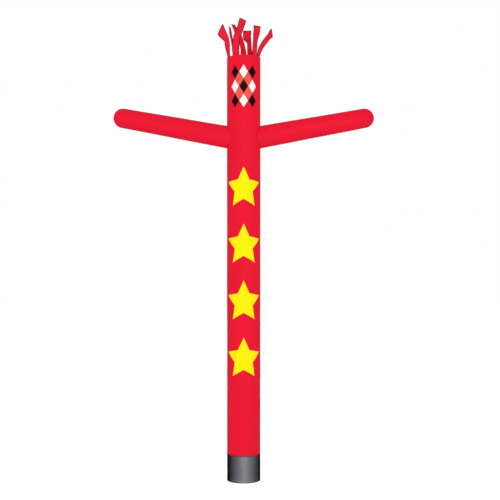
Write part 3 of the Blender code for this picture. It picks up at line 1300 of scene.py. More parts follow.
@dataclass
class BodyTube:
    """The tall tube, with its side seams, hem and arm holes."""

    finishes: Finishes
    skin: TubeSkin
    columns: int = 192
    arm_zone: tuple[float, float] = (4.40, 4.98)  # the stretch that has the arm holes
    seam: FelledSeam = FelledSeam()
    seam_ends: tuple[float, float] = (0.003, 0.0005)  # above the cuff and below the rim
    seam_step: float = 0.009
    stitch_gap: float = 0.008  # between the two rows of a felled seam
    rim_stitch: float = 0.027
    fold: float = 0.0012
    hem_fade: float = 0.05
    hole_reach: tuple[float, float] = (0.10, 0.45)  # along the arm's axis
    hole_sides: int = 96

    @property
    def flat(self) -> tuple[float, float]:
        """The flat cloth's width, with its two side seams, and its length, with its hem turned in."""
        skin = self.skin
        return skin.girth + 2 * self.seam.width, skin.rim + skin.hem - skin.foot

    def cloth_nets(self) -> list[Net]:
        """Lays out the tube's cloth.

        Returns:
            The nets of its outer and inner sides and of its edges.
        """
        skin, top = self.skin, self.skin.rim - self.fold
        hem = skin.rim - skin.hem
        # The outer side's rows are close together at the cuff's seam, the arm holes and the hem
        stretches = (
            (skin.foot, 0.0125),
            (skin.seam, 0.002),
            (skin.seam + 0.012, 0.008),
            (skin.seam + 0.10, 0.021),
            (self.arm_zone[0], 0.012),
            (self.arm_zone[1], 0.021),
            (skin.rim - 0.09, 0.010),
            (hem - 0.002, 0.001),
            (hem + 0.002, 0.008),
        )
        up = spaced(stretches, top)
        around = np.linspace(-math.pi, math.pi, self.columns + 1)
        angle, height = np.meshgrid(around, up)
        outer = skin.points(angle, height, 0.0)
        cloth = unrolled(skin.radius, angle, height)
        inner_up = spaced(((skin.foot, 0.0125), (skin.seam, 0.006), (skin.seam + skin.ease, 0.13)), top)
        angle_in, height_in = np.meshgrid(around, inner_up)
        turned = TURNED * smooth_step(height_in, hem - self.hem_fade, hem)
        reach = skin.radius - CLOTH - skin.drawn(height_in) - turned
        inner = upright(reach, angle_in, height_in)
        crest = crest_of(outer[-1], inner[-1], skin.rim)
        half = int(np.searchsorted(up, (skin.foot + skin.rim) / 2))
        return [
            Net(outer[: half + 1], cloth[: half + 1], (0.01, 0.01, 0.42, 0.99)),
            Net(outer[half:], cloth[half:], (0.44, 0.01, 0.85, 0.99)),
            Net(inner, unrolled(skin.radius, angle_in, height_in), (0.87, 0.01, 0.93, 0.99)),
            rim_net(outer[-1], crest, cloth[-1], (0.945, 0.01, 0.955, 0.99)),
            rim_net(inner[-1], crest, cloth[-1], (0.960, 0.01, 0.970, 0.99)),
            rim_net(outer[0], inner[0], cloth[0], (0.975, 0.01, 0.985, 0.99)),
        ]

    def hole_net(self, arm: ArmSkin) -> Net:
        """The closed drum that cuts one arm's hole.

        Args:
            arm: the arm's skin.

        Returns:
            Its net.
        """
        around = np.linspace(0, 2 * math.pi, self.hole_sides + 1)
        near, far = self.hole_reach
        rows = [
            arm.around(along, share * (arm.radius(along) - CLOTH), around)
            for along, share in ((near, 0.0), (near, 1.0), (far, 1.0), (far, 0.0))
        ]
        points = np.stack(rows)
        return Net(points, np.zeros(points.shape[:2] + (2,)), (0.990, 0.01, 0.998, 0.05))

    def cut_arm_holes(self, tube: Piece, arms: list[ArmSkin]) -> None:
        """Cuts the two holes through which air reaches the arms.

        Args:
            tube: the tube's mesh.
            arms: the arms' skins.
        """
        cutter = sew("arm_hole_cutter", [self.hole_net(arm) for arm in arms], [])
        boolean = tube.modifiers.new("arm_holes", "BOOLEAN")
        boolean.operation = "DIFFERENCE"
        boolean.solver = "EXACT"
        boolean.object = cutter
        bpy.context.view_layer.update()
        shaped = tube.evaluated_get(bpy.context.evaluated_depsgraph_get())
        cut_mesh = bpy.data.meshes.new_from_object(shaped)
        tube.modifiers.clear()
        tube.data = cut_mesh
        bpy.data.objects.remove(cutter)
        close_up(tube)

    def side_paths(self) -> list[Path]:
        """Traces the two side seams.

        Returns:
            Their lines.
        """
        skin, (foot, top) = self.skin, self.seam_ends
        up = np.arange(skin.seam + foot, skin.rim - top, self.seam_step)
        return [trace(skin, side.value * skin.side_seam, up) for side in Side]

    def tack_boxes(self, tabs: list[tuple[float, float]]) -> list[Path]:
        """The boxes of stitches that hold the strips' tabs.

        Args:
            tabs: each tab's angle round the rim and its width.

        Returns:
            One line a tab.
        """
        v_ends = tuple(self.skin.rim - drop for drop in TACK_DROPS)
        boxes = []
        for angle, width in tabs:
            half = width * TACK_SHARE / 2 / self.skin.radius
            boxes.append(box_line(self.skin, (angle - half, angle + half), v_ends))
        return boxes

    def build(self, arms: list[ArmSkin], tabs: list[tuple[float, float]]) -> list[Piece]:
        """Makes the tube's pieces.

        Args:
            arms: the arms' skins.
            tabs: the angle and width of each tab that is sewn inside the rim.

        Returns:
            The tube's cloth, then what is sewn to it.
        """
        thread, skin = self.finishes.red_thread, self.skin
        tube = sew("tube_cloth", self.cloth_nets(), [self.finishes.nylon])
        self.cut_arm_holes(tube, arms)
        attach(tube, ("body_tube",))
        sides = self.side_paths()
        # The side seams' darker red is painted shade
        seams = fell("tube_side_seams", sides, self.finishes.doubled_painted_shade, self.seam)
        rows = [row for path in sides for row in path.pair(self.stitch_gap)]
        side_stitches = sew_rows("tube_side_stitches", rows, thread, self.seam.rise)
        rim_rows = [trace(skin, RING, skin.rim - self.rim_stitch), *self.tack_boxes(tabs)]
        rim_stitches = sew_rows("tube_rim_stitches", rim_rows, thread)
        return [tube, seams, side_stitches, rim_stitches]


@dataclass
class BodyPrints:
    """The inks on the tube's front: a column of stars, and a patch of harlequin lozenges above them."""

    finishes: Finishes
    skin: TubeSkin
    star_heights: tuple[float, ...] = (4.008, 3.237, 2.467, 1.697)
    star_size: float = 0.268
    star_stretch: float = 1.08
    star_tips: int = 5
    star_inner: float = 0.50
    star_drop: float = 0.05  # its middle's share of its size below the height given
    patch_middle: float = 5.375
    patch_inks: tuple[tuple[Ink, ...], ...] = (
        (Ink.BLACK, Ink.WHITE, Ink.BLACK),
        (Ink.CORAL, Ink.CORAL),
        (Ink.WHITE, Ink.BLACK, Ink.WHITE),
        (Ink.CORAL, Ink.CORAL),
        (Ink.BLACK, Ink.WHITE, Ink.BLACK),
    )
    lozenge: tuple[float, float] = (0.062, 0.098)  # half the width and half the height of its cell
    lozenge_fill: float = 0.93  # the rest of the cell is bare cloth

    def stars(self) -> list[Outline]:
        """Draws the stars.

        Returns:
            Their outlines.
        """
        size = (self.star_size, self.star_size * self.star_stretch)
        drop = self.star_drop * self.star_size
        middles = [(0.0, height - drop) for height in self.star_heights]
        return [star(middle, size, self.star_tips, self.star_inner) for middle in middles]

    def lozenges(self) -> dict[Ink, list[Outline]]:
        """Draws the harlequin patch.

        Returns:
            Its lozenges' outlines, by their ink.
        """
        half_width, half_height = self.lozenge
        size = (half_width * self.lozenge_fill, half_height * self.lozenge_fill)
        by_ink: dict[Ink, list[Outline]] = {Ink.BLACK: [], Ink.WHITE: [], Ink.CORAL: []}
        for row, inks in enumerate(self.patch_inks):
            height = self.patch_middle + ((len(self.patch_inks) - 1) / 2 - row) * half_height
            for i, ink in enumerate(inks):
                across = (2 * i - len(inks) + 1) * half_width
                by_ink[ink].append(lozenge((across, height), size))
        return by_ink

    def build(self) -> list[Piece]:
        """Makes the prints.

        Returns:
            One piece an ink.
        """
        screen, inks = ScreenPrint(self.skin), self.finishes.inks
        pieces = [screen.build("print_yellow_stars", self.stars(), inks[Ink.YELLOW])]
        for ink, outlines in self.lozenges().items():
            pieces.append(screen.build(f"print_{ink.value}_lozenges", outlines, inks[ink]))
        return [attach(piece) for piece in pieces]


@dataclass
class BaseCuff:
    """The black cuff that the tube is sewn to, with its hem and closing seam."""

    finishes: Finishes
    skin: CuffSkin
    columns: int = 192
    top_rows: tuple[float, ...] = (0.006, 0.016)  # stitch rows below the top edge
    fold: float = 0.001
    hem_height: float = 0.035
    hem_edge: float = 0.004
    hem_stitch: float = 0.031
    closing: FelledSeam = FelledSeam(width=0.016, rise=0.0011)
    closing_points: int = 60
    stitch_gap: float = 0.010

    @property
    def flat(self) -> tuple[float, float]:
        """The flat cloth's width, with its closing seam, and its height, with its hem turned in."""
        return self.skin.girth + self.closing.width, self.skin.height + self.hem_height

    def cloth_nets(self) -> list[Net]:
        """Lays out the cuff's cloth.

        Returns:
            The nets of its outer and inner sides and of its edges.
        """
        skin, top = self.skin, self.skin.height - self.fold
        turned = skin.height - skin.turned
        hem_foot = self.hem_height - self.hem_edge
        up = spaced(((0.0, 0.002), (0.006, 0.009), (turned - 0.002, 0.001), (turned + 0.002, 0.006)), top)
        around = np.linspace(-math.pi, math.pi, self.columns + 1)
        angle, height = np.meshgrid(around, up)
        outer = skin.points(angle, height, 0.0)
        cloth = unrolled(skin.radius, angle, height)
        inner_up = np.array([0.0, hem_foot, self.hem_height, 0.1, 0.2, 0.3, top])
        angle_in, height_in = np.meshgrid(around, inner_up)
        hem = TURNED * (1 - smooth_step(height_in, hem_foot, self.hem_height))
        inner = upright(skin.radius - CLOTH - hem, angle_in, height_in)
        crest = crest_of(outer[-1], inner[-1], skin.height)
        return [
            Net(outer, cloth, (0.01, 0.05, 0.99, 0.50)),
            Net(inner, unrolled(skin.radius, angle_in, height_in), (0.01, 0.55, 0.99, 0.85)),
            rim_net(outer[-1], crest, cloth[-1], (0.01, 0.87, 0.99, 0.90)),
            rim_net(inner[-1], crest, cloth[-1], (0.01, 0.91, 0.99, 0.94)),
            rim_net(outer[0], inner[0], cloth[0], (0.01, 0.95, 0.99, 0.98)),
        ]

    def build(self) -> list[Piece]:
        """Makes the cuff's pieces.

        Returns:
            Its cloth, then what is sewn to it.
        """
        cloth, thread, skin = self.finishes.cuff, self.finishes.black_thread, self.skin
        cuff = attach(sew("cuff_cloth", self.cloth_nets(), [cloth]), ("base_cuff",))
        back = trace(skin, math.pi, np.linspace(self.fold, skin.height - self.fold, self.closing_points))
        seam = fell("cuff_closing_seam", [back], cloth, self.closing)
        heights = [skin.height - drop for drop in self.top_rows] + [self.hem_stitch]
        rows = [trace(skin, RING, height) for height in heights]
        stitches = sew_rows("cuff_stitches", rows, thread)
        rows = back.pair(self.stitch_gap)
        closing = sew_rows("cuff_closing_stitches", rows, thread, self.closing.rise)
        return [cuff, seam, stitches, closing]


@dataclass
class Arm:
    """One arm: a tapered sleeve of two panels, sewn to the tube's wall."""

    finishes: Finishes
    skin: ArmSkin
    columns: int = 128
    seam: FelledSeam = FelledSeam()
    seam_ends: tuple[float, float] = (0.004, 0.0005)  # from the tube's wall and the hand's tip
    seam_points: int = 200
    shoulder: FelledSeam = FelledSeam(width=0.014, rise=0.0011)
    shoulder_points: int = 193
    tuck: float = 0.0005  # how far the shoulder seam reaches into the tube's wall
    stitch_gap: float = 0.008
    hand_allowance: float = 0.03
    flat_area: float = 1.50  # of both panels, in square metres

    @property
    def name(self) -> str:
        """The solid's name."""
        return "arm_left" if self.skin.side is Side.LEFT else "arm_right"

    @property
    def flat(self) -> tuple[float, float]:
        """The two panels' width at the shoulder, and their length with what the hand's end takes up."""
        skin = self.skin
        return 2 * math.pi * skin.shoulder_radius, skin.tip - TUBE_RADIUS + self.hand_allowance

    def net(self, lift: float, stops: tuple[tuple[float, float], ...], island: Island) -> Net:
        """One side of the sleeve's cloth, from the tube to the tip of the hand.

        Args:
            lift: how far it stands off the skin.
            stops: rows of where a stretch starts and the step within it, as shares of the way along.
            island: its place in the bake map.

        Returns:
            The net.
        """
        skin = self.skin
        around = np.linspace(-math.pi, math.pi, self.columns + 1)
        root = skin.root(around, lift)
        along = root[None, :] + (skin.tip - root)[None, :] * spaced(stops, 1.0)[:, None]
        angle = np.broadcast_to(around[None, :], along.shape)
        cloth = unrolled(skin.shoulder_radius, angle, along)
        return Net(skin.points(angle, along, lift), cloth, island)

    def panel_lines(self) -> list[Path]:
        """Traces the seams between the two panels.

        Returns:
            Their lines.
        """
        lines = []
        for turn in self.skin.panel_seams:
            start = float(self.skin.root(np.array([turn]))[0]) + self.seam_ends[0]
            along = np.linspace(start, self.skin.tip - self.seam_ends[1], self.seam_points)
            lines.append(trace(self.skin, turn, along))
        return lines

    def shoulder_line(self) -> Path:
        """The line of the seam round the shoulder."""
        ring = np.linspace(-math.pi, math.pi, self.shoulder_points)
        return trace(self.skin, ring, self.skin.root(ring) + self.shoulder.width / 2 - self.tuck)

    def build(self) -> list[Piece]:
        """Makes the arm's pieces.

        Returns:
            Its cloth, then what is sewn to it.
        """
        finishes, thread = self.finishes, self.finishes.red_thread
        outer = self.net(0.0, ((0.0, 0.004), (0.06, 0.009), (0.86, 0.0085)), (0.01, 0.01, 0.60, 0.99))
        inner = self.net(-CLOTH, ((0.0, 0.04), (0.86, 0.02)), (0.62, 0.01, 0.95, 0.99))
        root = rim_net(outer.points[0], inner.points[0], outer.cloth[0], (0.97, 0.01, 0.99, 0.99))
        sleeve = sew(self.name + "_cloth", [outer, inner, root], [finishes.nylon])
        attach(sleeve, (self.name,))
        lines, ring = self.panel_lines(), self.shoulder_line()
        # The panel seams' darker red is painted shade
        seams = fell(self.name + "_seams", lines, finishes.doubled_painted_shade, self.seam)
        shoulder = fell(self.name + "_shoulder_seam", [ring], finishes.nylon, self.shoulder)
        rows = [row for line in lines for row in line.pair(self.stitch_gap)]
        seam_rows = sew_rows(self.name + "_seam_stitches", rows, thread, self.seam.rise)
        rows, name = ring.pair(self.stitch_gap), self.name + "_shoulder_stitches"
        ring_rows = sew_rows(name, rows, thread, self.shoulder.rise)
        return [sleeve, seams, shoulder, seam_rows, ring_rows]


# Hair


@dataclass(frozen=True)
class StripShape:
    """How a strip of the hair stands, at its middle.

    Each section's six numbers are its height above the rim, its places towards +X and +Y, its width, its
    turn about the vertical and its tilt in the front plane, in metres and degrees.
    """

    rim_place: float  # where it is sewn, in degrees round the rim from the front towards +X
    root_width: float
    sections: tuple[tuple[float, float, float, float, float, float], ...]


STRIPS = {
    "streamer_1": StripShape(
        rim_place=-68,
        root_width=0.094,
        sections=(
            (0.10, -0.221, -0.080, 0.098, -55, 0),
            (0.18, -0.231, -0.075, 0.107, -46, 0),
            (0.24, -0.241, -0.070, 0.112, -53, 28),
            (0.31, -0.282, -0.060, 0.122, -24, 50),
            (0.396, -0.326, -0.050, 0.166, 0, 64),
        ),
    ),
    "streamer_2": StripShape(
        rim_place=-139,
        root_width=0.070,
        sections=(
            (0.07, -0.146, 0.162, 0.085, 72, 0),
            (0.16, -0.151, 0.150, 0.093, 73, 0),
            (0.25, -0.167, 0.140, 0.101, 73, 0),
            (0.36, -0.186, 0.130, 0.109, 72, 0),
            (0.47, -0.200, 0.120, 0.115, 72, 0),
        ),
    ),
    "streamer_3": StripShape(
        rim_place=-28,
        root_width=0.100,
        sections=(
            (0.08, -0.111, -0.195, 0.105, -18, 0),
            (0.15, -0.110, -0.190, 0.106, -21, 0),
            (0.245, -0.098, -0.180, 0.110, -22, -4),
            (0.33, -0.067, -0.170, 0.117, -33, -12),
            (0.41, -0.040, -0.160, 0.122, -32, -20),
            (0.503, -0.016, -0.150, 0.124, -34, -34),
        ),
    ),
    "streamer_4": StripShape(
        rim_place=180,
        root_width=0.086,
        sections=(
            (0.08, -0.003, 0.205, 0.100, 24, 0),
            (0.16, -0.010, 0.190, 0.102, 42, 0),
            (0.24, -0.030, 0.170, 0.104, 41, 6),
            (0.32, -0.061, 0.140, 0.106, 38, 8),
            (0.40, -0.101, 0.120, 0.113, 46, 16),
            (0.497, -0.156, 0.100, 0.116, 66, 14),
        ),
    ),
    "streamer_5": StripShape(
        rim_place=158,
        root_width=0.080,
        sections=(
            (0.08, 0.092, 0.200, 0.092, -34, 0),
            (0.16, 0.086, 0.190, 0.098, -48, 0),
            (0.275, 0.078, 0.180, 0.104, -52, 8),
            (0.325, 0.050, 0.170, 0.114, -14, 16),
            (0.365, 0.048, 0.165, 0.116, -6, 6),
            (0.426, 0.048, 0.160, 0.116, 12, 3),
        ),
    ),
    "streamer_6": StripShape(
        rim_place=44,
        root_width=0.092,
        sections=(
            (0.09, 0.155, -0.156, 0.100, 50, 0),
            (0.18, 0.161, -0.150, 0.108, 54, 0),
            (0.26, 0.171, -0.140, 0.112, 49, 0),
            (0.33, 0.182, -0.130, 0.116, 39, 0),
            (0.418, 0.188, -0.120, 0.122, 38, 2),
        ),
    ),
    "streamer_7": StripShape(
        rim_place=67,
        root_width=0.082,
        sections=(
            (0.078, 0.219, -0.082, 0.090, 56, -26),
            (0.139, 0.248, -0.080, 0.096, 54, -37),
            (0.199, 0.287, -0.075, 0.103, 56, -37),
            (0.259, 0.333, -0.070, 0.106, 56, -46),
            (0.304, 0.368, -0.060, 0.110, 46, -62),
            (0.341, 0.393, -0.050, 0.122, 0, -83),
        ),
    ),
}
STRIP_SOLID = 0.002  # the strips' solids' thickness
RIM_SIDES = 64  # the tube's solid has flat facets inside its rim
RIM_SEAT_RADIUS = (TUBE_RADIUS - CLOTH - TURNED) * math.cos(math.pi / RIM_SIDES) - SEWN - STRIP_SOLID / 2


@dataclass(frozen=True)
class StripSkin(Skin):
    """The middle surface of a strip. u is the share of its half width, from -1 to 1, and v is its
    section, from 0 at the foot of its tab to 1 at its free end."""

    shape: StripShape
    rows: int = 49
    flutter: float = 0.0022
    free_from: float = 0.12
    # The flutter's wave, in radians: over the strip's length, from its middle to its edge, and the
    # degrees round the rim that shift it by one
    ripple: float = 17.0
    slant: float = 1.3
    shift: float = 40.0
    held: float = 0.35  # the flutter's share at the strip's middle

    @property
    def behind(self) -> bool:
        """Whether it stands at the back of the rim."""
        return abs(self.shape.rim_place) > 90

    def sections(self) -> Array:
        """Puts the strip's sections on a smooth curve.

        Returns:
            One row a section, in the shape's columns.
        """
        turn = self.shape.rim_place
        angle = math.radians(turn)
        if self.behind:
            turn -= math.copysign(180, turn)
        across, back = RIM_SEAT_RADIUS * math.sin(angle), -RIM_SEAT_RADIUS * math.cos(angle)
        foot = (0.0, across, back, self.shape.root_width, turn, 0.0)
        table = np.array([foot, *self.shape.sections], float)
        slopes = np.zeros_like(table)
        for i in range(1, len(table)):
            after = min(i + 1, len(table) - 1)
            slopes[i] = (table[after] - table[i - 1]) / (table[after, 0] - table[i - 1, 0])
        made = [np.array([-TAB, *foot[1:]])]
        for up in np.linspace(0.0, table[-1, 0], self.rows - 1):
            i = min(int(np.searchsorted(table[1:-1, 0], up)), len(table) - 2)
            rise = table[i + 1, 0] - table[i, 0]
            t = min((up - table[i, 0]) / rise, 1.0)
            made.append(
                table[i] * (1 + 2 * t) * (1 - t) ** 2
                + table[i + 1] * (3 - 2 * t) * t**2
                + rise * (slopes[i] * t * (1 - t) ** 2 - slopes[i + 1] * (1 - t) * t**2)
            )
        return np.array(made)

    def frames(self) -> tuple[Array, Array, Array, Array]:
        """Stands the strip's sections in space.

        Returns:
            Each one's middle, side direction, inward direction and half width.
        """
        up, across, back, width, turn, tilt = self.sections().T
        middle = np.stack([across, back, RIM_HEIGHT + up], axis=-1)
        turn, tilt = np.radians(turn), np.radians(tilt)
        side = np.stack([np.cos(turn) * np.cos(tilt), np.sin(turn), np.cos(turn) * np.sin(tilt)], axis=-1)
        side = side / np.linalg.norm(side, axis=1, keepdims=True)
        along = np.empty_like(middle)
        along[1:-1] = middle[2:] - middle[:-2]
        along[0], along[-1] = middle[1] - middle[0], middle[-1] - middle[-2]
        inward = np.cross(along, side)
        inward = inward / np.linalg.norm(inward, axis=1, keepdims=True)
        return middle, side, -inward if self.behind else inward, width / 2

    def points(self, u: Array, v: Array, lift: Values) -> Array:
        """Points of the strip.

        Args:
            u: the share of its half width.
            v: the share of the way from its tab's foot to its free end.
            lift: how far off it, away from the tube's middle, in metres.

        Returns:
            The points, with one more axis than u.
        """
        u, v = np.broadcast_arrays(np.asarray(u, float), np.asarray(v, float))
        middle, side, inward, half = self.frames()
        stops = np.linspace(0.0, 1.0, len(half))
        middle, side, inward = (rows_at(v, stops, part) for part in (middle, side, inward))
        place = u * np.interp(v, stops, half)
        free = self.flutter * smooth_step(v, self.free_from, 1.0)
        phase = self.shape.rim_place / self.shift
        wave = free * np.sin(self.ripple * v + phase + self.slant * u) * (self.held + np.abs(u))
        bowed = place**2 / (2 * RIM_SEAT_RADIUS) - wave - lift
        return middle + side * place[..., None] + inward * bowed[..., None]


@dataclass
class Streamer:
    """One strip of the hair, hemmed at its edges and free end."""

    name: str
    skin: StripSkin
    finishes: Finishes
    thickness: float = 0.0012
    hem: float = 0.011
    hem_rise: float = 0.0005
    hem_slope: float = 0.15  # the share of a hem's width over which its step rises
    end_hem: float = 0.012
    columns: tuple[float, ...] = (-0.6, -0.3, 0.0, 0.3, 0.6)  # between the hems
    rows: int = 60
    stitch_share: float = 0.7  # the stitches' distance in from the edge, as a share of the hem's width
    stitch_from: float = 0.06
    stitch_points: tuple[int, int] = (90, 30)  # on a row along the strip and on one across it
    allowance: float = 1.02  # the cut cloth's area beside the finished strip's
    # Measured on its skin, in metres
    length: float = field(init=False)
    mean_half: float = field(init=False)  # half its width, on average
    widest: float = field(init=False)
    edge: float = field(init=False)  # a side hem's share of the half width
    end: float = field(init=False)  # the end hem's share of the length

    def __post_init__(self) -> None:
        """Measures the strip."""
        middle, _, _, half = self.skin.frames()
        self.length = float(np.linalg.norm(np.diff(middle, axis=0), axis=1).sum())
        self.mean_half = float(half.mean())
        self.widest = 2 * float(half.max())
        self.edge = self.hem / self.mean_half
        self.end = self.end_hem / self.length

    @property
    def flat(self) -> tuple[float, float]:
        """The flat cloth's width and its length, with its end hem turned in."""
        return self.widest, self.length + self.end_hem

    @property
    def flat_area(self) -> float:
        """The flat cloth's area, in square metres."""
        return min(2 * self.mean_half * self.length * self.allowance, self.flat[0] * self.flat[1])

    def nets(self) -> list[Net]:
        """Lays out the strip's cloth.

        Returns:
            The nets of its two faces and four edges.
        """
        edge, end, slope = self.edge, self.end, self.hem_slope
        inset = (1.0 - edge, 1.0 - edge * (1 - slope), 1.0)
        stops = np.array([*(-stop for stop in reversed(inset)), *self.columns, *inset])
        to_hem = np.linspace(0.0, 1.0 - end * (1 + slope), self.rows)
        across, up = np.meshgrid(stops, [*to_hem, 1.0 - end, 1.0 - end / 2, 1.0])
        hemmed = (np.abs(across) >= 1.0 - edge * (1 - slope / 2)) | (up >= 1.0 - end * (1 + slope / 2))
        lift = self.thickness / 2 + self.hem_rise * hemmed
        cloth = np.stack([across * self.mean_half, up * self.length], axis=-1)
        front, back = self.skin.points(across, up, lift), self.skin.points(across, up, -lift)
        return [
            Net(front, cloth, (0.01, 0.01, 0.45, 0.99)),
            Net(back, cloth, (0.47, 0.01, 0.91, 0.99)),
            rim_net(front[:, 0], back[:, 0], cloth[:, 0], (0.925, 0.01, 0.935, 0.99)),
            rim_net(front[:, -1], back[:, -1], cloth[:, -1], (0.945, 0.01, 0.955, 0.99)),
            rim_net(front[0], back[0], cloth[0], (0.965, 0.01, 0.975, 0.99)),
            rim_net(front[-1], back[-1], cloth[-1], (0.985, 0.01, 0.995, 0.99)),
        ]

    def mark_hems(self, strip: Piece) -> None:
        """Gives the folded cloth of the hems its own finish, whose darker red is painted shade.

        Args:
            strip: the strip's mesh.
        """
        layer = strip.data.uv_layers[CLOTH_MAP].data
        for face in strip.data.polygons:
            places = [layer[i].uv for i in face.loop_indices]
            across = abs(sum(p.x for p in places) / len(places)) / self.mean_half
            up = sum(p.y for p in places) / len(places) / self.length
            in_shaded_hem = across > 1.0 - self.edge or up > 1.0 - self.end * (1 + self.hem_slope)
            face.material_index = int(in_shaded_hem)

    def stitch_rows(self) -> list[Path]:
        """Traces the strip's stitches.

        Returns:
            The lines of the hems' rows on both faces, and of the box on the tab's inner face.
        """
        skin, (count_up, count_across) = self.skin, self.stitch_points
        inset, top = 1.0 - self.edge * self.stitch_share, 1.0 - self.end * self.stitch_share
        line = np.linspace(self.stitch_from, top, count_up)
        paths = [trace(skin, -inset, line), trace(skin, inset, line)]
        paths.append(trace(skin, np.linspace(-inset, inset, count_across), top))
        on_hem = self.thickness / 2 + self.hem_rise
        rows = [path.on_face(face, on_hem) for face in (1, -1) for path in paths]
        rim = 1.0 / (skin.rows - 1)  # the tab ends where the strip's second section stands on the rim
        v_ends = tuple((1 - drop / TAB) * rim for drop in TACK_DROPS)
        tack = box_line(skin, (-TACK_SHARE, TACK_SHARE), v_ends)
        return [*rows, tack.on_face(-1, self.thickness / 2)]

    def build(self) -> list[Piece]:
        """Makes the strip's pieces.

        Returns:
            Its cloth, then its stitches.
        """
        # Both finishes carry painted shade: the strip's red is a little darker than the tube's, and the
        # hems' red much darker
        strip = sew(self.name + "_cloth", self.nets(), [self.finishes.strip, self.finishes.hem])
        self.mark_hems(strip)
        attach(strip, (self.name,))
        name, thread = self.name + "_stitches", self.finishes.red_thread
        return [strip, sew_rows(name, self.stitch_rows(), thread)]


# Stage


def stand(name: str, data: bpy.types.Light, at: Vector, aim: Vector) -> Piece:
    """Stands a light in the scene.

    Args:
        name: its name.
        data: the light.
        at: where it stands.
        aim: what it points at.

    Returns:
        Its object.
    """
    light = bpy.data.objects.new(name, data)
    light.location = at
    light.rotation_euler = (aim - at).to_track_quat("-Z", "Y").to_euler()
    bpy.context.scene.collection.objects.link(light)
    return light


@dataclass(frozen=True)
class Softbox:
    """A soft rectangular light. Distances are in metres, and power in watts."""

    name: str
    at: tuple[float, float, float]
    aim: tuple[float, float, float]
    size: tuple[float, float]
    power: float
    mirrored: bool = False  # whether it shows in reflections

    def add(self) -> None:
        """Adds the light to the scene."""
        data = bpy.data.lights.new(self.name, "AREA")
        data.shape = "RECTANGLE"
        data.size, data.size_y = self.size
        data.energy = self.power
        stand(self.name, data, Vector(self.at), Vector(self.aim)).visible_glossy = self.mirrored


@dataclass(frozen=True)
class CuffLight:
    """A low light, shaped by its barn doors and a soft gobo, that brings out the dark cuff. It stands
    level with the cuff's middle, at which it points."""

    name: str
    at: Place
    half_width: float  # of its beam, at the cuff's middle
    power: float
    half_height: float = CUFF_HEIGHT / 2 + 0.005
    margin: float = 1.1  # how much wider than the beam its cone is
    lamp: float = 0.001
    # How the beam fades towards its sides, and towards its top and foot: as one less this power of the
    # share of the way out
    side_fade: float = 2.0
    top_fade: float = 60.0

    def add(self) -> None:
        """Adds the light to the scene."""
        middle, at = Vector((0.0, 0.0, CUFF_HEIGHT / 2)), Vector((*self.at, CUFF_HEIGHT / 2))
        distance = (middle - at).length
        data = bpy.data.lights.new(self.name, "SPOT")
        corner = math.hypot(self.half_width, self.half_height)
        data.spot_size = 2 * self.margin * math.atan(corner / distance)
        data.spot_blend = 0.0
        data.shadow_soft_size = self.lamp
        data.energy = self.power
        data.use_nodes = True
        tree = data.node_tree
        ray = add_node(tree, "ShaderNodeTexCoord").outputs["Normal"]
        apart = add_node(tree, "ShaderNodeSeparateXYZ", {}, {"Vector": ray}).outputs
        ways = (("X", self.half_width, self.side_fade), ("Y", self.half_height, self.top_fade))
        left = {}
        for number, (axis, half, fade) in enumerate(ways):
            value = apart[axis]
            steps = {"DIVIDE": apart["Z"], "MULTIPLY": distance / half, "ABSOLUTE": 0.0, "POWER": fade}
            for operation, by in steps.items():
                inputs = {0: value, 1: by}
                value = add_node(tree, "ShaderNodeMath", {"operation": operation}, inputs).outputs[0]
            settings = {"operation": "SUBTRACT", "use_clamp": True}
            left[number] = add_node(tree, "ShaderNodeMath", settings, {0: 1.0, 1: value}).outputs[0]
        both = add_node(tree, "ShaderNodeMath", {"operation": "MULTIPLY"}, left)
        tree.links.new(both.outputs[0], tree.nodes["Emission"].inputs["Strength"])
        stand(self.name, data, at, middle)


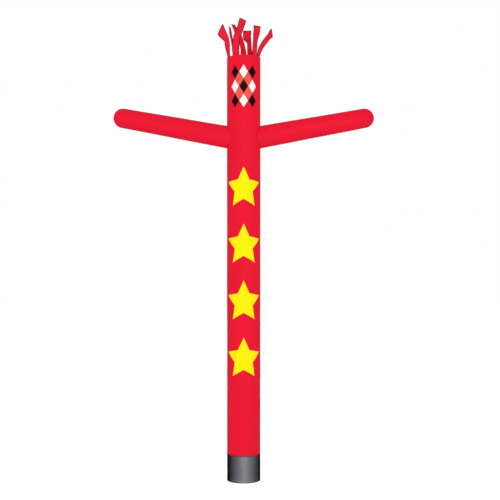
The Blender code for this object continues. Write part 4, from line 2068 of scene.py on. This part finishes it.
@dataclass(frozen=True)
class Studio:
    """The camera, floor and soft light. Distances are in metres."""

    eye: tuple[float, float, float] = (0.0, -12.05, 2.90)
    lens: float = 63.0
    film: float = 36.0
    shift: tuple[float, float] = (0.0126, 0.0380)
    sight: float = 200.0
    ambient: float = 0.74
    mirrored: float = 0.03
    floor_colour: str = "#b4b4b4"
    floor_glow: float = 0.80
    floor_reach: float = 60.0
    softboxes: tuple[Softbox, ...] = (
        Softbox("front_softbox", (1.6, -11.0, 4.2), (0.0, 0.0, 3.0), (5.0, 7.0), 420.0, mirrored=True),
        Softbox("back_softbox", (-0.4, 11.0, 4.6), (0.0, 0.0, 3.0), (5.0, 7.0), 470.0),
        Softbox("left_softbox", (-9.0, -6.0, 3.6), (0.0, 0.0, 2.6), (3.0, 7.0), 170.0),
        Softbox("right_softbox", (9.0, -6.0, 3.6), (0.0, 0.0, 2.6), (3.0, 7.0), 60.0),
    )
    cuff_lights: tuple[CuffLight, ...] = (
        CuffLight("cuff_front_light", (0.60, -6.0), 0.215, 20500.0),
        CuffLight("cuff_left_light", (-2.54, -5.44), 0.150, 2000.0),
        CuffLight("cuff_back_light", (-0.40, 6.0), 0.219, 14000.0),
    )

    def add_camera(self) -> None:
        """Adds the camera and makes it the scene's."""
        data = bpy.data.cameras.new("camera")
        data.lens = self.lens
        data.sensor_width = self.film
        data.shift_x, data.shift_y = self.shift
        data.clip_end = self.sight
        camera = bpy.data.objects.new("camera", data)
        camera.location = self.eye
        camera.rotation_euler = (math.pi / 2, 0.0, 0.0)
        bpy.context.scene.collection.objects.link(camera)
        bpy.context.scene.camera = camera

    def add_world(self) -> None:
        """Adds a white surround: full white to the eye, and dimmer as a light and in reflections."""
        world = bpy.data.worlds.new("white_surround")
        world.use_nodes = True
        tree = world.node_tree
        tree.nodes.clear()
        ray = add_node(tree, "ShaderNodeLightPath")
        shares = {"Value": ray.outputs["Is Camera Ray"], "To Min": self.ambient, "To Max": 1.0}
        seen = add_node(tree, "ShaderNodeMapRange", {}, shares)
        shares = {"Factor": ray.outputs["Is Glossy Ray"], 2: seen.outputs[0], 3: self.mirrored}
        dimmed = add_node(tree, "ShaderNodeMix", {"data_type": "FLOAT"}, shares)
        shown = {"Color": (1, 1, 1, 1), "Strength": dimmed.outputs[0]}
        ground = add_node(tree, "ShaderNodeBackground", {}, shown)
        add_node(tree, "ShaderNodeOutputWorld", {}, {"Surface": ground.outputs[0]})
        bpy.context.scene.world = world

    def add_floor(self) -> None:
        """Adds a plain pale floor."""
        material, _, shader = start_material("pale_floor")
        surface = {
            "Base Color": linear(self.floor_colour),
            "Roughness": 0.9,
            "Specular IOR Level": 0.0,
            "Emission Color": (1, 1, 1, 1),
            "Emission Strength": self.floor_glow,
        }
        feed(shader, surface)
        corners = np.array([(-1, -1, 0), (1, -1, 0), (1, 1, 0), (-1, 1, 0)]) * self.floor_reach
        floor = add_mesh("floor", corners, [(0, 1, 2, 3)], [material])
        floor.visible_glossy = False
        floor.visible_diffuse = False

    def build(self) -> None:
        """Sets up the camera, the surround, the floor and the lights."""
        self.add_camera()
        self.add_world()
        self.add_floor()
        for light in (*self.softboxes, *self.cuff_lights):
            light.add()
        bpy.context.scene.view_settings.view_transform = "Standard"
        bpy.context.scene.view_settings.look = "None"


def main() -> None:
    """Builds the studio and every piece in order."""
    logging.basicConfig(level=logging.INFO, format="%(name)s %(message)s")
    Studio().build()
    finishes = Finishes()
    tube_skin = TubeSkin()
    arm_skins = [ArmSkin(side, tube_skin) for side in Side]

    tabs = [(math.radians(shape.rim_place), shape.root_width) for shape in STRIPS.values()]
    body = BodyTube(finishes, tube_skin)
    tube, *sewn = body.build(arm_skins, tabs)
    prints = BodyPrints(finishes, tube_skin).build()
    base = BaseCuff(finishes, CuffSkin())
    cuff, *sewn = base.build()
    for skin in arm_skins:
        arm = Arm(finishes, skin)
        sleeve, *sewn = arm.build()
    for name, shape in STRIPS.items():
        streamer = Streamer(name, StripSkin(shape), finishes)
        strip, *sewn = streamer.build()


if __name__ == "__main__":
    main()
